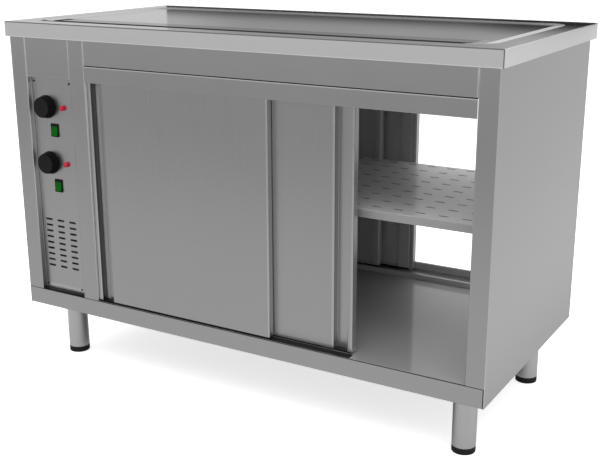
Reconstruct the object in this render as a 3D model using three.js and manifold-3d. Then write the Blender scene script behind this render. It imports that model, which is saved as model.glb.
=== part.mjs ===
// Hot food table: a heated cupboard of folded stainless sheet with a heated worktop, a control bay
// at its left end and a pair of sliding doors on each long side. Millimetres, +Z up.
// The origin lies on the ground under the middle of the worktop.
import * as THREE from "three";
import { mergeVertices } from "three/addons/utils/BufferGeometryUtils.js";
import Module from "manifold-3d";

const wasm = await Module();
wasm.setup();

// Whole table
const worktopLength = 1200;
const worktopDepth = 600;
const tableHeight = 830;
const bodyClearance = 144.5;
const sheet = 1.5;
const gap = 0.3;
const overrun = 2;
const weldDistance = 0.001;
const foldRadius = 1;
const foldSteps = 2;
const roundSides = 24;
const rodSides = 6;
const holeSides = 12;
const lampSides = 16;
const domeSteps = 3;

// Worktop: a tray-shaped top, its heated plate a little lower than its rim
const worktopSheet = 1.5;
const sideOverhang = 6.8;
const frontOverhang = 6.8;
const backOverhang = 25;
const lipHeight = 34;
const lipBend = 2;
const lipCornerRadius = 2.4;
const rimSide = 45;
const rimEnd = 60;
const plateDrop = 3;
const slopeRun = 25;
const rimCornerRadius = 40;
const cornerSteps = 5;

// Body
const baseStripHeight = 41.5;
const bottomReturn = 20;
const leftPillar = 46;
const rightPillar = 40;
const pillarReturn = 18;
const controlBay = 132;
const postWidth = 44;
const postReturn = 40;
const fasciaHeight = 124.7;
const trackCoverHeight = 37.2;
const coverSeam = 0.7;
const tongueHeight = 17;
const tongueJog = 1.85;
const tongueSlant = 3;
const fasciaReturn = 20;
const linerFlange = 20;
const linerAboveTrack = 6;
const floorEdge = 15;
const floorFrontPlay = 0.6;
const ceilingFlange = 25;

// Rear sill
const sillDepth = 44.2;
const sillStep = 13;
const sillUpstand = 19;
const sillRidge = 5.4;
const sillToe = 14;

// Doors and their tracks
const doorSheet = 1.2;
const doorThickness = 17;
const doorGap = 1.5;
const doorSetback = 3.8;
const rearDoorSetback = 7.2;
const doorEndPlay = 1.1;
const doorOverlap = 33;
const doorReturn = 15;
const fingerLip = 12;
const fingerWidth = 31;
const fingerDepth = 15.2;
const frontInnerDoorOpenShare = 0.5742;
const rearOuterDoorOpenShare = 0.8036;
const glideThickness = 3;
const glideWidth = 12;
const glidePlay = 1;
const stripInset = 6;
const trackAboveOpening = 40.5;
const trackHeight = 18;
const trackWall = 1.6;
const trackCavity = 13;
const trackSlot = 5;
const doorBelowTrack = 11;
const runnerFootWidth = 10;
const runnerFootHeight = 2;
const runnerStem = 3;
const runnerShoePlay = 0.7;
const runnerShoeHeight = 5;

// Legs and feet
const legDiameter = 50;
const legWall = 2;
const legSide = 69.2;
const legEnd = 86.9;
const legPlate = 76;
const legPlateThickness = 3;
const footHeight = 11;
const footBevel = 3;
const footFlatRadius = 20;
const footPlug = 42;
const footPlugPlay = 0.4;
const railWidth = 60;
const railLip = 9;

// Shelf
const shelfHeightShare = 0.5836;
const shelfFront = 64;
const shelfBackSetback = 62.2;
const shelfLip = 17.5;
const shelfEndPlay = 1;
const slotLength = 21;
const slotWidth = 3.6;
const slotPitch = 49;
const slotFieldShift = 4;
const railLedge = 20;
const railDrop = 15;

// Heaters
const heaterDiameter = 8;
const trayInset = 4;
const trayFlange = 12;
const trayDepth = 27;
const traySheet = 1;
const trayCornerRadius = 6;
const topHeaterRuns = 6;
const topHeaterPlay = 12;
const turnSteps = 6;
const chamberHeaterReach = 420;
const chamberHeaterTail = 24;
const chamberHeaterPitch = 80;
const chamberHeaterFront = 240;
const chamberHeaterLift = 15;

// Control panel and what it carries
const panelRecess = 13;
const panelFlange = 10;
const panelFoot = 2.5;
const headerHeight = 123;
const controlLineShares = [0.8715, 0.6155];
const knobPlace = 88.4;
const knobSkirtRadius = 27;
const knobSkirt = 3;
const knobGripRadius = 20.5;
const knobGripTaper = 1.6;
const knobGrip = 15;
const knobEdge = 1.2;
const shaftRadius = 3;
const shaftInKnob = 12;
const shaftInThermostat = 10;
const thermostatWidth = 42;
const thermostatDepth = 35;
const thermostatCornerRadius = 4;
const lampPlace = 139;
const lampRise = 0.6;
const lampRadius = 6;
const lampHead = 6.5;
const lampStemRadius = 4.7;
const lampStem = 19;
const switchPlace = 110;
const switchDrop = 53.5;
const bezelWidth = 22.6;
const bezelHeight = 31;
const bezelThickness = 2.2;
const bezelCornerRadius = 1.5;
const switchWall = 0.7;
const switchDepth = 21;
const rockerWidth = 18;
const rockerHeight = 25.2;
const rockerRise = 5;
const rockerBack = 3;
const rockerPlay = 1;
const rockerTilt = 8;
const rockerBehindPanelFace = 0.2;
const rockerBackPlay = 2.3;
const ventPlace = 107.2;
const ventPitchAcross = 37.2;
const ventPitchUpShare = 0.028;
const ventTopShare = 0.344;
const ventLength = 20.5;
const ventWidth = 3;
const ventRows = 9;
const ventColumns = 3;
const rearVentRows = 6;
const rearVentTopShare = 0.6454;

// Cable gland on the rear cover
const glandRise = 60;
const glandNutRadius = 14;
const glandNut = 6;
const glandCapRadius = 11;
const glandCap = 10;
const glandThreadRadius = 9.7;
const glandTail = 9;
const glandBore = 5;

// Worked out from the sizes above. Everything below is placed in the body's own frame:
// u runs from the body's left side, d from its front face, z from the ground.
const bodyLength = worktopLength - 2 * sideOverhang;
const bodyDepth = worktopDepth - frontOverhang - backOverhang;
const bodyTop = tableHeight - worktopSheet - gap;
const floorTop = bodyClearance + baseStripHeight;
const standing = floorTop + gap;
const bayLeft = leftPillar;
const bayRight = bayLeft + controlBay;
const chamberLeft = bayRight + postWidth;
const chamberRight = bodyLength - rightPillar;
const chamberLength = chamberRight - chamberLeft;
const openingTop = bodyTop - fasciaHeight;
const openingHeight = openingTop - floorTop;
const trackBottom = openingTop + trackAboveOpening;
const doorTop = trackBottom - doorBelowTrack;
const doorWidth = (chamberLength - 2 * doorEndPlay + doorOverlap) / 2;
const doorTravel = chamberLength - 2 * doorEndPlay - doorWidth;
const doorPitch = doorThickness + doorGap;
const sillFront = bodyDepth - sillDepth;
const sillTread = floorTop + sillStep;
const sillTop = sillTread + sillUpstand;
const half = sheet / 2;
const skinGap = sheet + gap;
const plateUnderside = tableHeight - plateDrop - worktopSheet;
const frontTrackLine = doorSetback + doorThickness / 2;
const rearTrackLine = bodyDepth - rearDoorSetback - doorThickness / 2;
const trackReach = trackCavity / 2 + trackWall;
const bayCoverLeft = bayLeft + gap;
const bayCoverRight = bayRight - gap;
const shelfHeight = floorTop + shelfHeightShare * openingHeight;
const shelfBack = bodyDepth - shelfBackSetback;
const slotRows = Math.floor((shelfBack - shelfFront) / slotPitch);
const slotColumns = Math.floor((chamberLength - 2 * shelfEndPlay) / slotPitch);
const ventPitchUp = ventPitchUpShare * openingHeight;
const ventTop = floorTop + ventTopShare * openingHeight;
const rearVentTop = floorTop + rearVentTopShare * openingHeight;
const glandHeight = floorTop + glandRise;

// Colours and finishes, one per kind of surface
const brushedSteel = { color: 0xa3a4a4, roughness: 0.36, metalness: 1 };
const polishedSteel = { color: 0xb4b5b6, roughness: 0.24, metalness: 1 };
const heaterSteel = { color: 0x6f6c68, roughness: 0.5, metalness: 1 };
const blackPlastic = { color: 0x17171a, roughness: 0.45, metalness: 0 };
const blackRubber = { color: 0x0f0f10, roughness: 0.8, metalness: 0 };
const whiteNylon = { color: 0xd9d8d2, roughness: 0.6, metalness: 0 };
const redLens = { color: 0xc2182b, roughness: 0.25, metalness: 0 };
const greenRocker = { color: 0x0a7a1e, roughness: 0.3, metalness: 0 };

// A closed geometry as a solid that can be joined and cut
function solid(geometry) {
  const bare = geometry.clone();
  bare.deleteAttribute("normal");
  bare.deleteAttribute("uv");
  const merged = mergeVertices(bare, weldDistance);
  const vertProperties = merged.attributes.position.array;
  const triVerts = new Uint32Array(merged.index.array);
  return new wasm.Manifold(new wasm.Mesh({ numProp: 3, vertProperties, triVerts }));
}

// A solid back as a geometry
function geometryOf(shape) {
  const mesh = shape.getMesh();
  const geometry = new THREE.BufferGeometry();
  geometry.setAttribute("position", new THREE.BufferAttribute(mesh.vertProperties, 3));
  geometry.setIndex(new THREE.BufferAttribute(mesh.triVerts, 1));
  geometry.computeVertexNormals();
  return geometry;
}

// One or more outlines of [across, up] points, pushed out along +Z by a length
function prism(outlines, length) {
  const flat = (outline) => outline.map(([a, b]) => new THREE.Vector2(a, b));
  const shapes = outlines.map((outline) => new THREE.Shape(flat(outline)));
  return new THREE.ExtrudeGeometry(shapes, { depth: length, bevelEnabled: false });
}

// Outline in (u, d), from height z0 to z1
function alongZ(outlines, z0, z1) {
  return solid(prism(outlines, z1 - z0).translate(0, 0, z0));
}

// Outline in (d, z), from u0 to u1
function alongX(outlines, u0, u1) {
  const turn = new THREE.Matrix4().makeBasis(
    new THREE.Vector3(0, 1, 0),
    new THREE.Vector3(0, 0, 1),
    new THREE.Vector3(1, 0, 0),
  );
  return solid(prism(outlines, u1 - u0).applyMatrix4(turn).translate(u0, 0, 0));
}

// Outline in (u, z), from depth d0 to d1
function alongY(outlines, d0, d1) {
  return solid(prism(outlines, d1 - d0).rotateX(Math.PI / 2).translate(0, d1, 0));
}

function rectangle(a0, a1, b0, b1) {
  return [[a0, b0], [a1, b0], [a1, b1], [a0, b1]];
}

function block(u0, u1, d0, d1, z0, z1) {
  return alongZ([rectangle(u0, u1, d0, d1)], z0, z1);
}

// A slot with pointed ends, long along the first axis
function slotOutline(across, up, length, width) {
  const tip = length / 2;
  const shoulder = tip - width / 2;
  const side = width / 2;
  return [
    [across - tip, up],
    [across - shoulder, up - side],
    [across + shoulder, up - side],
    [across + tip, up],
    [across + shoulder, up + side],
    [across - shoulder, up + side],
  ];
}

// The section of a folded sheet: its middle line, bend by bend, thickened by half to each side
function folded(line, thickness, insideRadius = foldRadius) {
  const points = line.map(([a, b]) => new THREE.Vector2(a, b));
  const middle = insideRadius + thickness / 2;
  const leftSide = [];
  const rightSide = [];
  const place = (centre, out, leftRadius, rightRadius) => {
    leftSide.push(centre.clone().addScaledVector(out, leftRadius));
    rightSide.push(centre.clone().addScaledVector(out, rightRadius));
  };
  const leftOf = (from, to) => {
    const along = to.clone().sub(from).normalize();
    return new THREE.Vector2(-along.y, along.x);
  };
  points.forEach((point, i) => {
    const before = points[i - 1];
    const after = points[i + 1];
    if (!before || !after) {
      const out = before ? leftOf(before, point) : leftOf(point, after);
      place(point, out, thickness / 2, -thickness / 2);
      return;
    }
    const inward = leftOf(before, point);
    const outward = leftOf(point, after);
    const turn = Math.atan2(inward.cross(outward), inward.dot(outward));
    const side = Math.sign(turn);
    const reach = middle * Math.tan(Math.abs(turn) / 2);
    const along = point.clone().sub(before).normalize();
    const centre = point.clone().addScaledVector(along, -reach).addScaledVector(inward, side * middle);
    for (let k = 0; k <= foldSteps; k++) {
      const out = inward.clone().multiplyScalar(-side);
      out.rotateAround(new THREE.Vector2(), (turn * k) / foldSteps);
      place(centre, out, middle - (side * thickness) / 2, middle + (side * thickness) / 2);
    }
  });
  return leftSide.concat(rightSide.reverse()).map((point) => [point.x, point.y]);
}

// A rounded rectangle of points at one height, anticlockwise from above
function roundedRing(u0, u1, d0, d1, radius, z) {
  const corners = [
    [u1 - radius, d1 - radius],
    [u0 + radius, d1 - radius],
    [u0 + radius, d0 + radius],
    [u1 - radius, d0 + radius],
  ];
  return corners.flatMap(([u, d], quarter) =>
    Array.from({ length: cornerSteps + 1 }, (_, k) => {
      const angle = ((quarter + k / cornerSteps) * Math.PI) / 2;
      return new THREE.Vector3(u + radius * Math.cos(angle), d + radius * Math.sin(angle), z);
    }),
  );
}

// A closed skin through rings of as many points each, the first facing up and the last down
function lofted(rings) {
  const count = rings[0].length;
  const index = [];
  for (let r = 0; r < rings.length - 1; r++) {
    for (let j = 0; j < count; j++) {
      const next = (j + 1) % count;
      const [p, pn, q, qn] = [r * count + j, r * count + next, (r + 1) * count + j, (r + 1) * count + next];
      index.push(p, q, qn, p, qn, pn);
    }
  }
  const flat = (ring) => ring.map((point) => new THREE.Vector2(point.x, point.y));
  const last = (rings.length - 1) * count;
  THREE.ShapeUtils.triangulateShape(flat(rings[0]), []).forEach(([a, b, c]) => index.push(a, b, c));
  THREE.ShapeUtils.triangulateShape(flat(rings.at(-1)), []).forEach(([a, b, c]) => {
    index.push(last + a, last + c, last + b);
  });
  const geometry = new THREE.BufferGeometry().setFromPoints(rings.flat());
  geometry.setIndex(index);
  return solid(geometry);
}

// A round piece about a line along -Y: profile points are [radius, distance out of the panel]
function turnedOutwards(profile, segments) {
  const points = profile.map(([radius, out]) => new THREE.Vector2(radius, out));
  return solid(new THREE.LatheGeometry(points, segments).rotateX(Math.PI));
}

// A round piece about the vertical: profile points are [radius, height]
function turnedUpright(profile, segments) {
  const points = profile.map(([radius, height]) => new THREE.Vector2(radius, height));
  return solid(new THREE.LatheGeometry(points, segments).rotateX(Math.PI / 2));
}

// A path that an extrusion follows from station to station, so that straight runs take one step
class StationPath extends THREE.Curve {
  constructor(stations) {
    super();
    this.stations = stations;
  }
  getPointAt(share, target = new THREE.Vector3()) {
    const place = Math.round(share * (this.stations.length - 1));
    return target.copy(this.stations[place]);
  }
  getTangentAt(share, target = new THREE.Vector3()) {
    const place = Math.round(share * (this.stations.length - 1));
    const before = this.stations[Math.max(place - 1, 0)];
    const here = this.stations[place];
    const after = this.stations[Math.min(place + 1, this.stations.length - 1)];
    const arriving = here.clone().sub(before).normalize();
    const leaving = after.clone().sub(here).normalize();
    return target.copy(arriving).add(leaving).normalize();
  }
}

// A round rod through a list of stations
function rod(stations, diameter, sides) {
  const circle = Array.from({ length: sides }, (_, k) => {
    const angle = ((k + 1 / 2) * 2 * Math.PI) / sides;
    return new THREE.Vector2(Math.cos(angle), Math.sin(angle)).multiplyScalar(diameter / 2);
  });
  const path = new StationPath(stations);
  const options = { steps: stations.length - 1, extrudePath: path, bevelEnabled: false };
  return solid(new THREE.ExtrudeGeometry(new THREE.Shape(circle), options));
}

// Stations of a half turn in a level plane, about a centre, from one side to the other
function halfTurn(u, d, z, radius, bulge) {
  return Array.from({ length: turnSteps + 1 }, (_, k) => {
    const angle = (k * Math.PI) / turnSteps;
    return new THREE.Vector3(u + bulge * radius * Math.sin(angle), d - radius * Math.cos(angle), z);
  });
}

// Worktop: one pressed and folded tray, its rim flat, its plate reached by a gentle slope
function worktop() {
  const ring = (insetU, insetD, radius, z) =>
    roundedRing(
      insetU - sideOverhang,
      bodyLength + sideOverhang - insetU,
      insetD - frontOverhang,
      bodyDepth + backOverhang - insetD,
      radius,
      z,
    );
  const eased = lipBend * (1 - Math.SQRT1_2);
  const innerCorner = lipCornerRadius - worktopSheet;
  const lipFoot = tableHeight - lipHeight;
  const returned = Math.min(sideOverhang, frontOverhang) - gap;
  const plateRadius = rimCornerRadius - slopeRun;
  const [rimU, rimD] = [rimSide, rimEnd];
  const [plateU, plateD] = [rimSide + slopeRun, rimEnd + slopeRun];
  return lofted([
    ring(plateU, plateD, plateRadius, tableHeight - plateDrop),
    ring(rimU, rimD, rimCornerRadius, tableHeight),
    ring(lipBend, lipBend, innerCorner, tableHeight),
    ring(eased, eased, lipCornerRadius - eased, tableHeight - eased),
    ring(0, 0, lipCornerRadius, tableHeight - lipBend),
    ring(0, 0, lipCornerRadius, lipFoot),
    ring(returned, returned, innerCorner, lipFoot),
    ring(returned, returned, innerCorner, lipFoot + worktopSheet),
    ring(worktopSheet, worktopSheet, innerCorner, lipFoot + worktopSheet),
    ring(worktopSheet, worktopSheet, innerCorner, tableHeight - worktopSheet),
    ring(rimU, rimD, rimCornerRadius, tableHeight - worktopSheet),
    ring(plateU, plateD, plateRadius, plateUnderside),
  ]);
}

// The shallow pan that closes the top heater in from below
const trayTop = plateUnderside - gap;
const trayBottom = trayTop - trayDepth;
const trayEdge = rimSide + slopeRun - sideOverhang + trayInset;
const trayFrontEdge = rimEnd + slopeRun - frontOverhang + trayInset;
const trayBackEdge = bodyDepth + backOverhang - rimEnd - slopeRun - trayInset;
const trayWall = trayFlange + traySheet;

function heaterTray() {
  const ring = (inset, z) => {
    const [left, right] = [trayEdge + inset, bodyLength - trayEdge - inset];
    return roundedRing(left, right, trayFrontEdge + inset, trayBackEdge - inset, trayCornerRadius, z);
  };
  return lofted([
    ring(trayWall, trayBottom + traySheet),
    ring(trayWall, trayTop),
    ring(0, trayTop),
    ring(0, trayTop - traySheet),
    ring(trayFlange, trayTop - traySheet),
    ring(trayFlange, trayBottom),
  ]);
}

// The worktop's rod element, run after run, just under the plate
function topHeater() {
  const z = plateUnderside - gap - heaterDiameter / 2;
  const trayFront = trayFrontEdge + trayWall + topHeaterPlay;
  const trayBack = trayBackEdge - trayWall - topHeaterPlay;
  const topHeaterPitch = (trayBack - trayFront) / topHeaterRuns;
  const inset = trayEdge + trayWall + topHeaterPlay + (heaterDiameter + topHeaterPitch) / 2;
  const [start, end] = [inset, bodyLength - inset];
  const first = trayFront + topHeaterPitch / 2;
  const stations = [new THREE.Vector3(start, first, z)];
  for (let run = 0; run < topHeaterRuns - 1; run++) {
    const turnD = first + (run + 1 / 2) * topHeaterPitch;
    const rightwards = run % 2 === 0;
    stations.push(...halfTurn(rightwards ? end : start, turnD, z, topHeaterPitch / 2, rightwards ? 1 : -1));
  }
  const lastU = topHeaterRuns % 2 === 0 ? start : end;
  stations.push(new THREE.Vector3(lastU, first + (topHeaterRuns - 1) * topHeaterPitch, z));
  return rod(stations, heaterDiameter, rodSides);
}

// What the front strip and the rear sill take up, cut out of the panels that meet them
function stripSpace() {
  return block(sheet, bodyLength - sheet, -overrun, pillarReturn + overrun, 0, standing);
}

function sillSpace() {
  const back = bodyDepth + overrun;
  return block(sheet, bodyLength - sheet, sillFront - gap, back, 0, sillTop + gap);
}

// Side panel: skin, the pillars that turn round its two corners, and the fold under it
function sidePanel(pillar, mirrored) {
  const place = ([u, d]) => [mirrored ? bodyLength - u : u, d];
  const section = folded(
    [
      [pillar - half, pillarReturn],
      [pillar - half, half],
      [half, half],
      [half, bodyDepth - half],
      [pillar - half, bodyDepth - half],
      [pillar - half, bodyDepth - pillarReturn],
    ],
    sheet,
  ).map(place);
  const foot = folded(
    [
      [half, bodyClearance + bottomReturn],
      [half, bodyClearance + half],
      [bottomReturn, bodyClearance + half],
    ],
    sheet,
  ).map(place);
  return alongZ([section], bodyClearance, bodyTop)
    .subtract(stripSpace())
    .subtract(sillSpace())
    .add(alongY([foot], bottomReturn + sheet, bodyDepth - bottomReturn - sheet));
}

// Liner of the chamber's right end, folded back towards the side panel at both edges
function rightLiner() {
  const front = pillarReturn + gap + half;
  const back = bodyDepth - pillarReturn - gap - half;
  const wall = chamberRight + half;
  const section = folded(
    [
      [wall + linerFlange, front],
      [wall, front],
      [wall, back],
      [wall + linerFlange, back],
    ],
    sheet,
  );
  const top = trackBottom + trackHeight + linerAboveTrack;
  return alongZ([section], standing, top).subtract(sillSpace());
}

// Partition: front post, chamber wall and rear post in one folded sheet
function chamberPartition() {
  const [inner, outer] = [bayRight + half, chamberLeft - half];
  const section = folded(
    [
      [inner, postReturn],
      [inner, half],
      [outer, half],
      [outer, bodyDepth - half],
      [inner, bodyDepth - half],
      [inner, bodyDepth - postReturn],
    ],
    sheet,
  );
  const trayBack = bodyDepth + backOverhang - rimEnd + gap;
  const [left, right] = [bayRight - overrun, chamberLeft + overrun];
  const traySpace = block(left, right, postReturn + gap, trayBack, trayBottom - gap, tableHeight);
  const holeRadius = heaterDiameter / 2 + gap;
  const holes = [0, chamberHeaterPitch].map((step) =>
    solid(
      new THREE.CylinderGeometry(holeRadius, holeRadius, postWidth, holeSides)
        .rotateZ(Math.PI / 2)
        .translate(chamberLeft, chamberHeaterFront + step, floorTop + chamberHeaterLift),
    ),
  );
  return holes.reduce(
    (wall, hole) => wall.subtract(hole),
    alongZ([section], standing, bodyTop).subtract(traySpace).subtract(sillSpace()),
  );
}

// Fascias and headers: folded strips that run along the table
function controlHeader() {
  const foot = bodyTop + gap - headerHeight;
  const section = folded([[half, bodyTop], [half, foot + half], [panelRecess - gap, foot + half]], sheet);
  return alongX([section], bayCoverLeft, bayCoverRight);
}

function frontFascia() {
  const foot = openingTop + trackCoverHeight + coverSeam;
  const section = folded([[fasciaReturn, bodyTop - half], [half, bodyTop - half], [half, foot]], sheet);
  return alongX([section], chamberLeft + gap, chamberRight - gap);
}

function frontTrackCover() {
  const top = openingTop + trackCoverHeight;
  const behind = tongueJog + half;
  const section = folded(
    [
      [half, openingTop],
      [half, top - tongueSlant],
      [behind, top],
      [behind, top + tongueHeight],
    ],
    sheet,
  );
  return alongX([section], chamberLeft + gap, chamberRight - gap);
}

function rearFascia() {
  const face = bodyDepth - half;
  const level = bodyTop - half;
  const section = folded([[face - fasciaReturn, level], [face, level], [face, openingTop]], sheet);
  return alongX([section], chamberLeft + gap, chamberRight - gap);
}

// Door track: a drawn section with a slotted channel for each door
function doorTrack(firstLine, secondLine) {
  const lines = [firstLine, secondLine].sort((a, b) => a - b);
  const [low, high] = [trackBottom, trackBottom + trackHeight];
  const channel = (line) => [
    [line - trackSlot / 2, low],
    [line - trackSlot / 2, low + trackWall],
    [line - trackCavity / 2, low + trackWall],
    [line - trackCavity / 2, high - trackWall],
    [line + trackCavity / 2, high - trackWall],
    [line + trackCavity / 2, low + trackWall],
    [line + trackSlot / 2, low + trackWall],
    [line + trackSlot / 2, low],
  ];
  const section = [
    [lines[0] - trackReach, low],
    ...lines.flatMap(channel),
    [lines[1] + trackReach, low],
    [lines[1] + trackReach, high],
    [lines[0] - trackReach, high],
  ];
  return alongX([section], chamberLeft + gap, chamberRight - gap);
}

function ceilingTray() {
  const front = frontTrackLine + doorPitch + trackReach + gap + half;
  const back = rearTrackLine - doorPitch - trackReach - gap - half;
  const top = trackBottom + ceilingFlange;
  const level = trackBottom + half;
  const section = folded([[front, top], [front, level], [back, level], [back, top]], sheet);
  return alongX([section], chamberLeft + gap, chamberRight - gap);
}

function floorPanel() {
  const front = sheet + floorFrontPlay + half;
  const back = sillFront - gap - half;
  const [level, foot] = [floorTop - half, floorTop - floorEdge];
  const section = folded([[front, foot], [front, level], [back, level], [back, foot]], sheet);
  return alongX([section], skinGap, bodyLength - skinGap);
}

function baseFrontStrip() {
  const level = bodyClearance + half;
  const section = folded([[bottomReturn, level], [half, level], [half, floorTop]], sheet);
  return alongX([section], skinGap, bodyLength - skinGap);
}

// Rear sill: a riser, the tread that the rear doors run over, and the upstand that hides their feet
function rearSill() {
  const face = bodyDepth - half;
  const ridge = face - sillRidge;
  const section = folded(
    [
      [sillFront + half, floorTop - sillToe],
      [sillFront + half, sillTread - half],
      [ridge, sillTread - half],
      [ridge, sillTop - half],
      [face, sillTop - half],
      [face, bodyClearance + half],
      [bodyDepth - bottomReturn, bodyClearance + half],
    ],
    sheet,
  );
  return alongX([section], skinGap, bodyLength - skinGap);
}

// Leg rail: a lipped channel under the floor, which takes the leg plates
const legPlateTop = bodyClearance + sheet + legPlateThickness;

function legRail(centre) {
  const [low, high] = [legPlateTop + gap + half, floorTop - sheet - gap - half];
  const wall = railWidth / 2 - half;
  const section = folded(
    [
      [centre - wall + railLip, high],
      [centre - wall, high],
      [centre - wall, low],
      [centre + wall, low],
      [centre + wall, high],
      [centre + wall - railLip, high],
    ],
    sheet,
  );
  const front = sheet + floorFrontPlay + sheet + gap;
  return alongY([section], front, sillFront - sheet - 2 * gap);
}

// Leg: a round tube welded to a square plate
function leg(u, d) {
  const radius = legDiameter / 2;
  const bore = radius - legWall;
  const [low, high] = [footHeight + gap, legPlateTop - legPlateThickness];
  const profile = [[bore, low], [radius, low], [radius, high], [bore, high], [bore, low]];
  const tube = turnedUpright(profile, roundSides);
  const side = legPlate / 2;
  const plate = block(-side, side, -side, side, high, legPlateTop);
  return tube.add(plate).translate([u, d, 0]);
}

// Levelling foot: a bevelled ring with a plug that screws up into the leg
function foot(u, d) {
  const radius = legDiameter / 2;
  const plugRadius = radius - legWall - footPlugPlay;
  return turnedUpright(
    [
      [0, 0],
      [footFlatRadius, 0],
      [radius, footBevel],
      [radius, footHeight],
      [plugRadius, footHeight],
      [plugRadius, footHeight + footPlug],
      [0, footHeight + footPlug],
    ],
    roundSides,
  ).translate([u, d, 0]);
}

// Door: a folded pan whose outer end is a finger channel with a narrow lip beyond it.
// Made with its outer face at d = 0 and its finger end at u = 0, unless that is turned round.
function doorPan(height, fingerAtRight) {
  const t = doorSheet;
  const [face, back] = [t / 2, doorThickness - t / 2];
  const channelLeft = fingerLip - t / 2;
  const channelRight = fingerLip + fingerWidth + t / 2;
  const place = ([u, d]) => [fingerAtRight ? doorWidth - u : u, d];
  const section = folded(
    [
      [t / 2, doorThickness],
      [t / 2, face],
      [channelLeft, face],
      [channelLeft, fingerDepth + t / 2],
      [channelRight, fingerDepth + t / 2],
      [channelRight, face],
      [doorWidth - t / 2, face],
      [doorWidth - t / 2, back],
      [doorWidth - doorReturn, back],
    ],
    t,
  ).map(place);
  const lid = rectangle(channelRight, doorWidth - t / 2, face, doorThickness).map(place);
  const cap = rectangle(t / 2, channelLeft, face, doorThickness).map(place);
  const pan = alongZ([section], 0, height);
  return pan
    .add(alongZ([lid], 0, t))
    .add(alongZ([lid], height - t, height))
    .add(alongZ([cap], 0, t))
    .add(alongZ([cap], height - t, height));
}

// Nylon runner: a foot on the door's top edge, a stem through the track's slot and a shoe inside it
function doorRunner() {
  const low = doorTop + gap;
  const shelf = low + runnerFootHeight;
  const shoe = trackBottom + trackWall + gap;
  const top = shoe + runnerShoeHeight;
  const middle = doorThickness / 2;
  const sides = [
    [runnerFootWidth / 2, low],
    [runnerFootWidth / 2, shelf],
    [runnerStem / 2, shelf],
    [runnerStem / 2, shoe],
    [trackCavity / 2 - runnerShoePlay, shoe],
    [trackCavity / 2 - runnerShoePlay, top],
  ];
  const right = sides.map(([across, z]) => [middle + across, z]);
  const left = sides.map(([across, z]) => [middle - across, z]).reverse();
  return alongX([right.concat(left)], stripInset, doorWidth - stripInset);
}

// Glide strip under a door
function doorGlide(doorFoot) {
  const middle = doorThickness / 2;
  const section = rectangle(
    middle - glideWidth / 2,
    middle + glideWidth / 2,
    doorFoot - gap - glideThickness,
    doorFoot - gap,
  );
  return alongX([section], stripInset, doorWidth - stripInset);
}

// The three pieces of one door, moved to its place; the rear pair is the front pair turned half round
function doorPieces(name, { rear, inner, left, doorFoot }) {
  const pan = doorPan(doorTop - doorFoot, inner).translate([0, 0, doorFoot]);
  const pieces = { door: pan, runner: doorRunner(), glide: doorGlide(doorFoot) };
  const setback = (rear ? rearDoorSetback : doorSetback) + (inner ? doorPitch : 0);
  const finishOf = { door: brushedSteel, runner: whiteNylon, glide: blackPlastic };
  for (const [kind, piece] of Object.entries(pieces)) {
    const placed = rear
      ? piece.rotate([0, 0, 180]).translate([left + doorWidth, bodyDepth - setback, 0])
      : piece.translate([left, setback, 0]);
    add(kind === "door" ? name : name + "_" + kind, placed, finishOf[kind]);
  }
}

// Perforated shelf: a folded tray with a square field of slots
function perforatedShelf() {
  const level = shelfHeight - half;
  const foot = shelfHeight - shelfLip;
  const [front, back] = [shelfFront + half, shelfBack - half];
  const section = folded([[front, foot], [front, level], [back, level], [back, foot]], sheet);
  const middle = (chamberLeft + chamberRight) / 2;
  const firstColumn = middle - ((slotColumns - 1) * slotPitch) / 2;
  const firstRow = (shelfFront + shelfBack - (slotRows - 1) * slotPitch) / 2 + slotFieldShift;
  const slots = [];
  for (let row = 0; row < slotRows; row++) {
    for (let column = 0; column < slotColumns; column++) {
      const [u, d] = [firstColumn + column * slotPitch, firstRow + row * slotPitch];
      slots.push(slotOutline(u, d, slotLength, slotWidth));
    }
  }
  return alongX([section], chamberLeft + shelfEndPlay, chamberRight - shelfEndPlay)
    .subtract(alongZ(slots, level - overrun, level + overrun));
}

// Shelf rail: an angle on the chamber's end wall
function shelfRail(wall, inwards) {
  const top = shelfHeight - sheet - gap;
  const place = ([across, z]) => [wall + inwards * across, z];
  const section = folded(
    [[gap + half, top - railDrop], [gap + half, top - half], [gap + railLedge, top - half]],
    sheet,
  ).map(place);
  return alongY([section], shelfFront + sheet + gap, shelfBack - sheet - gap);
}

// The chamber's rod element: a hairpin out of the partition, low over the floor
function chamberHeater() {
  const z = floorTop + chamberHeaterLift;
  const tail = chamberLeft - sheet - chamberHeaterTail;
  const turnU = chamberLeft + chamberHeaterReach;
  const turnD = chamberHeaterFront + chamberHeaterPitch / 2;
  const stations = [
    new THREE.Vector3(tail, chamberHeaterFront, z),
    ...halfTurn(turnU, turnD, z, chamberHeaterPitch / 2, 1),
    new THREE.Vector3(tail, chamberHeaterFront + chamberHeaterPitch, z),
  ];
  return rod(stations, heaterDiameter, rodSides);
}

// The heights of the two thermostats' lines
const controlLines = controlLineShares.map((share) => floorTop + share * openingHeight);

// Columns and rows of vent slots, from the top row down
function ventOutlines(rows, top) {
  const outlines = [];
  for (let row = 0; row < rows; row++) {
    for (let column = 0; column < ventColumns; column++) {
      const u = ventPlace + (column - (ventColumns - 1) / 2) * ventPitchAcross;
      outlines.push(slotOutline(u, top - row * ventPitchUp, ventLength, ventWidth));
    }
  }
  return outlines;
}

function circleOutline(u, z, radius, sides) {
  return Array.from({ length: sides }, (_, k) => {
    const angle = (k * 2 * Math.PI) / sides;
    return [u + radius * Math.cos(angle), z + radius * Math.sin(angle)];
  });
}

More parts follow.
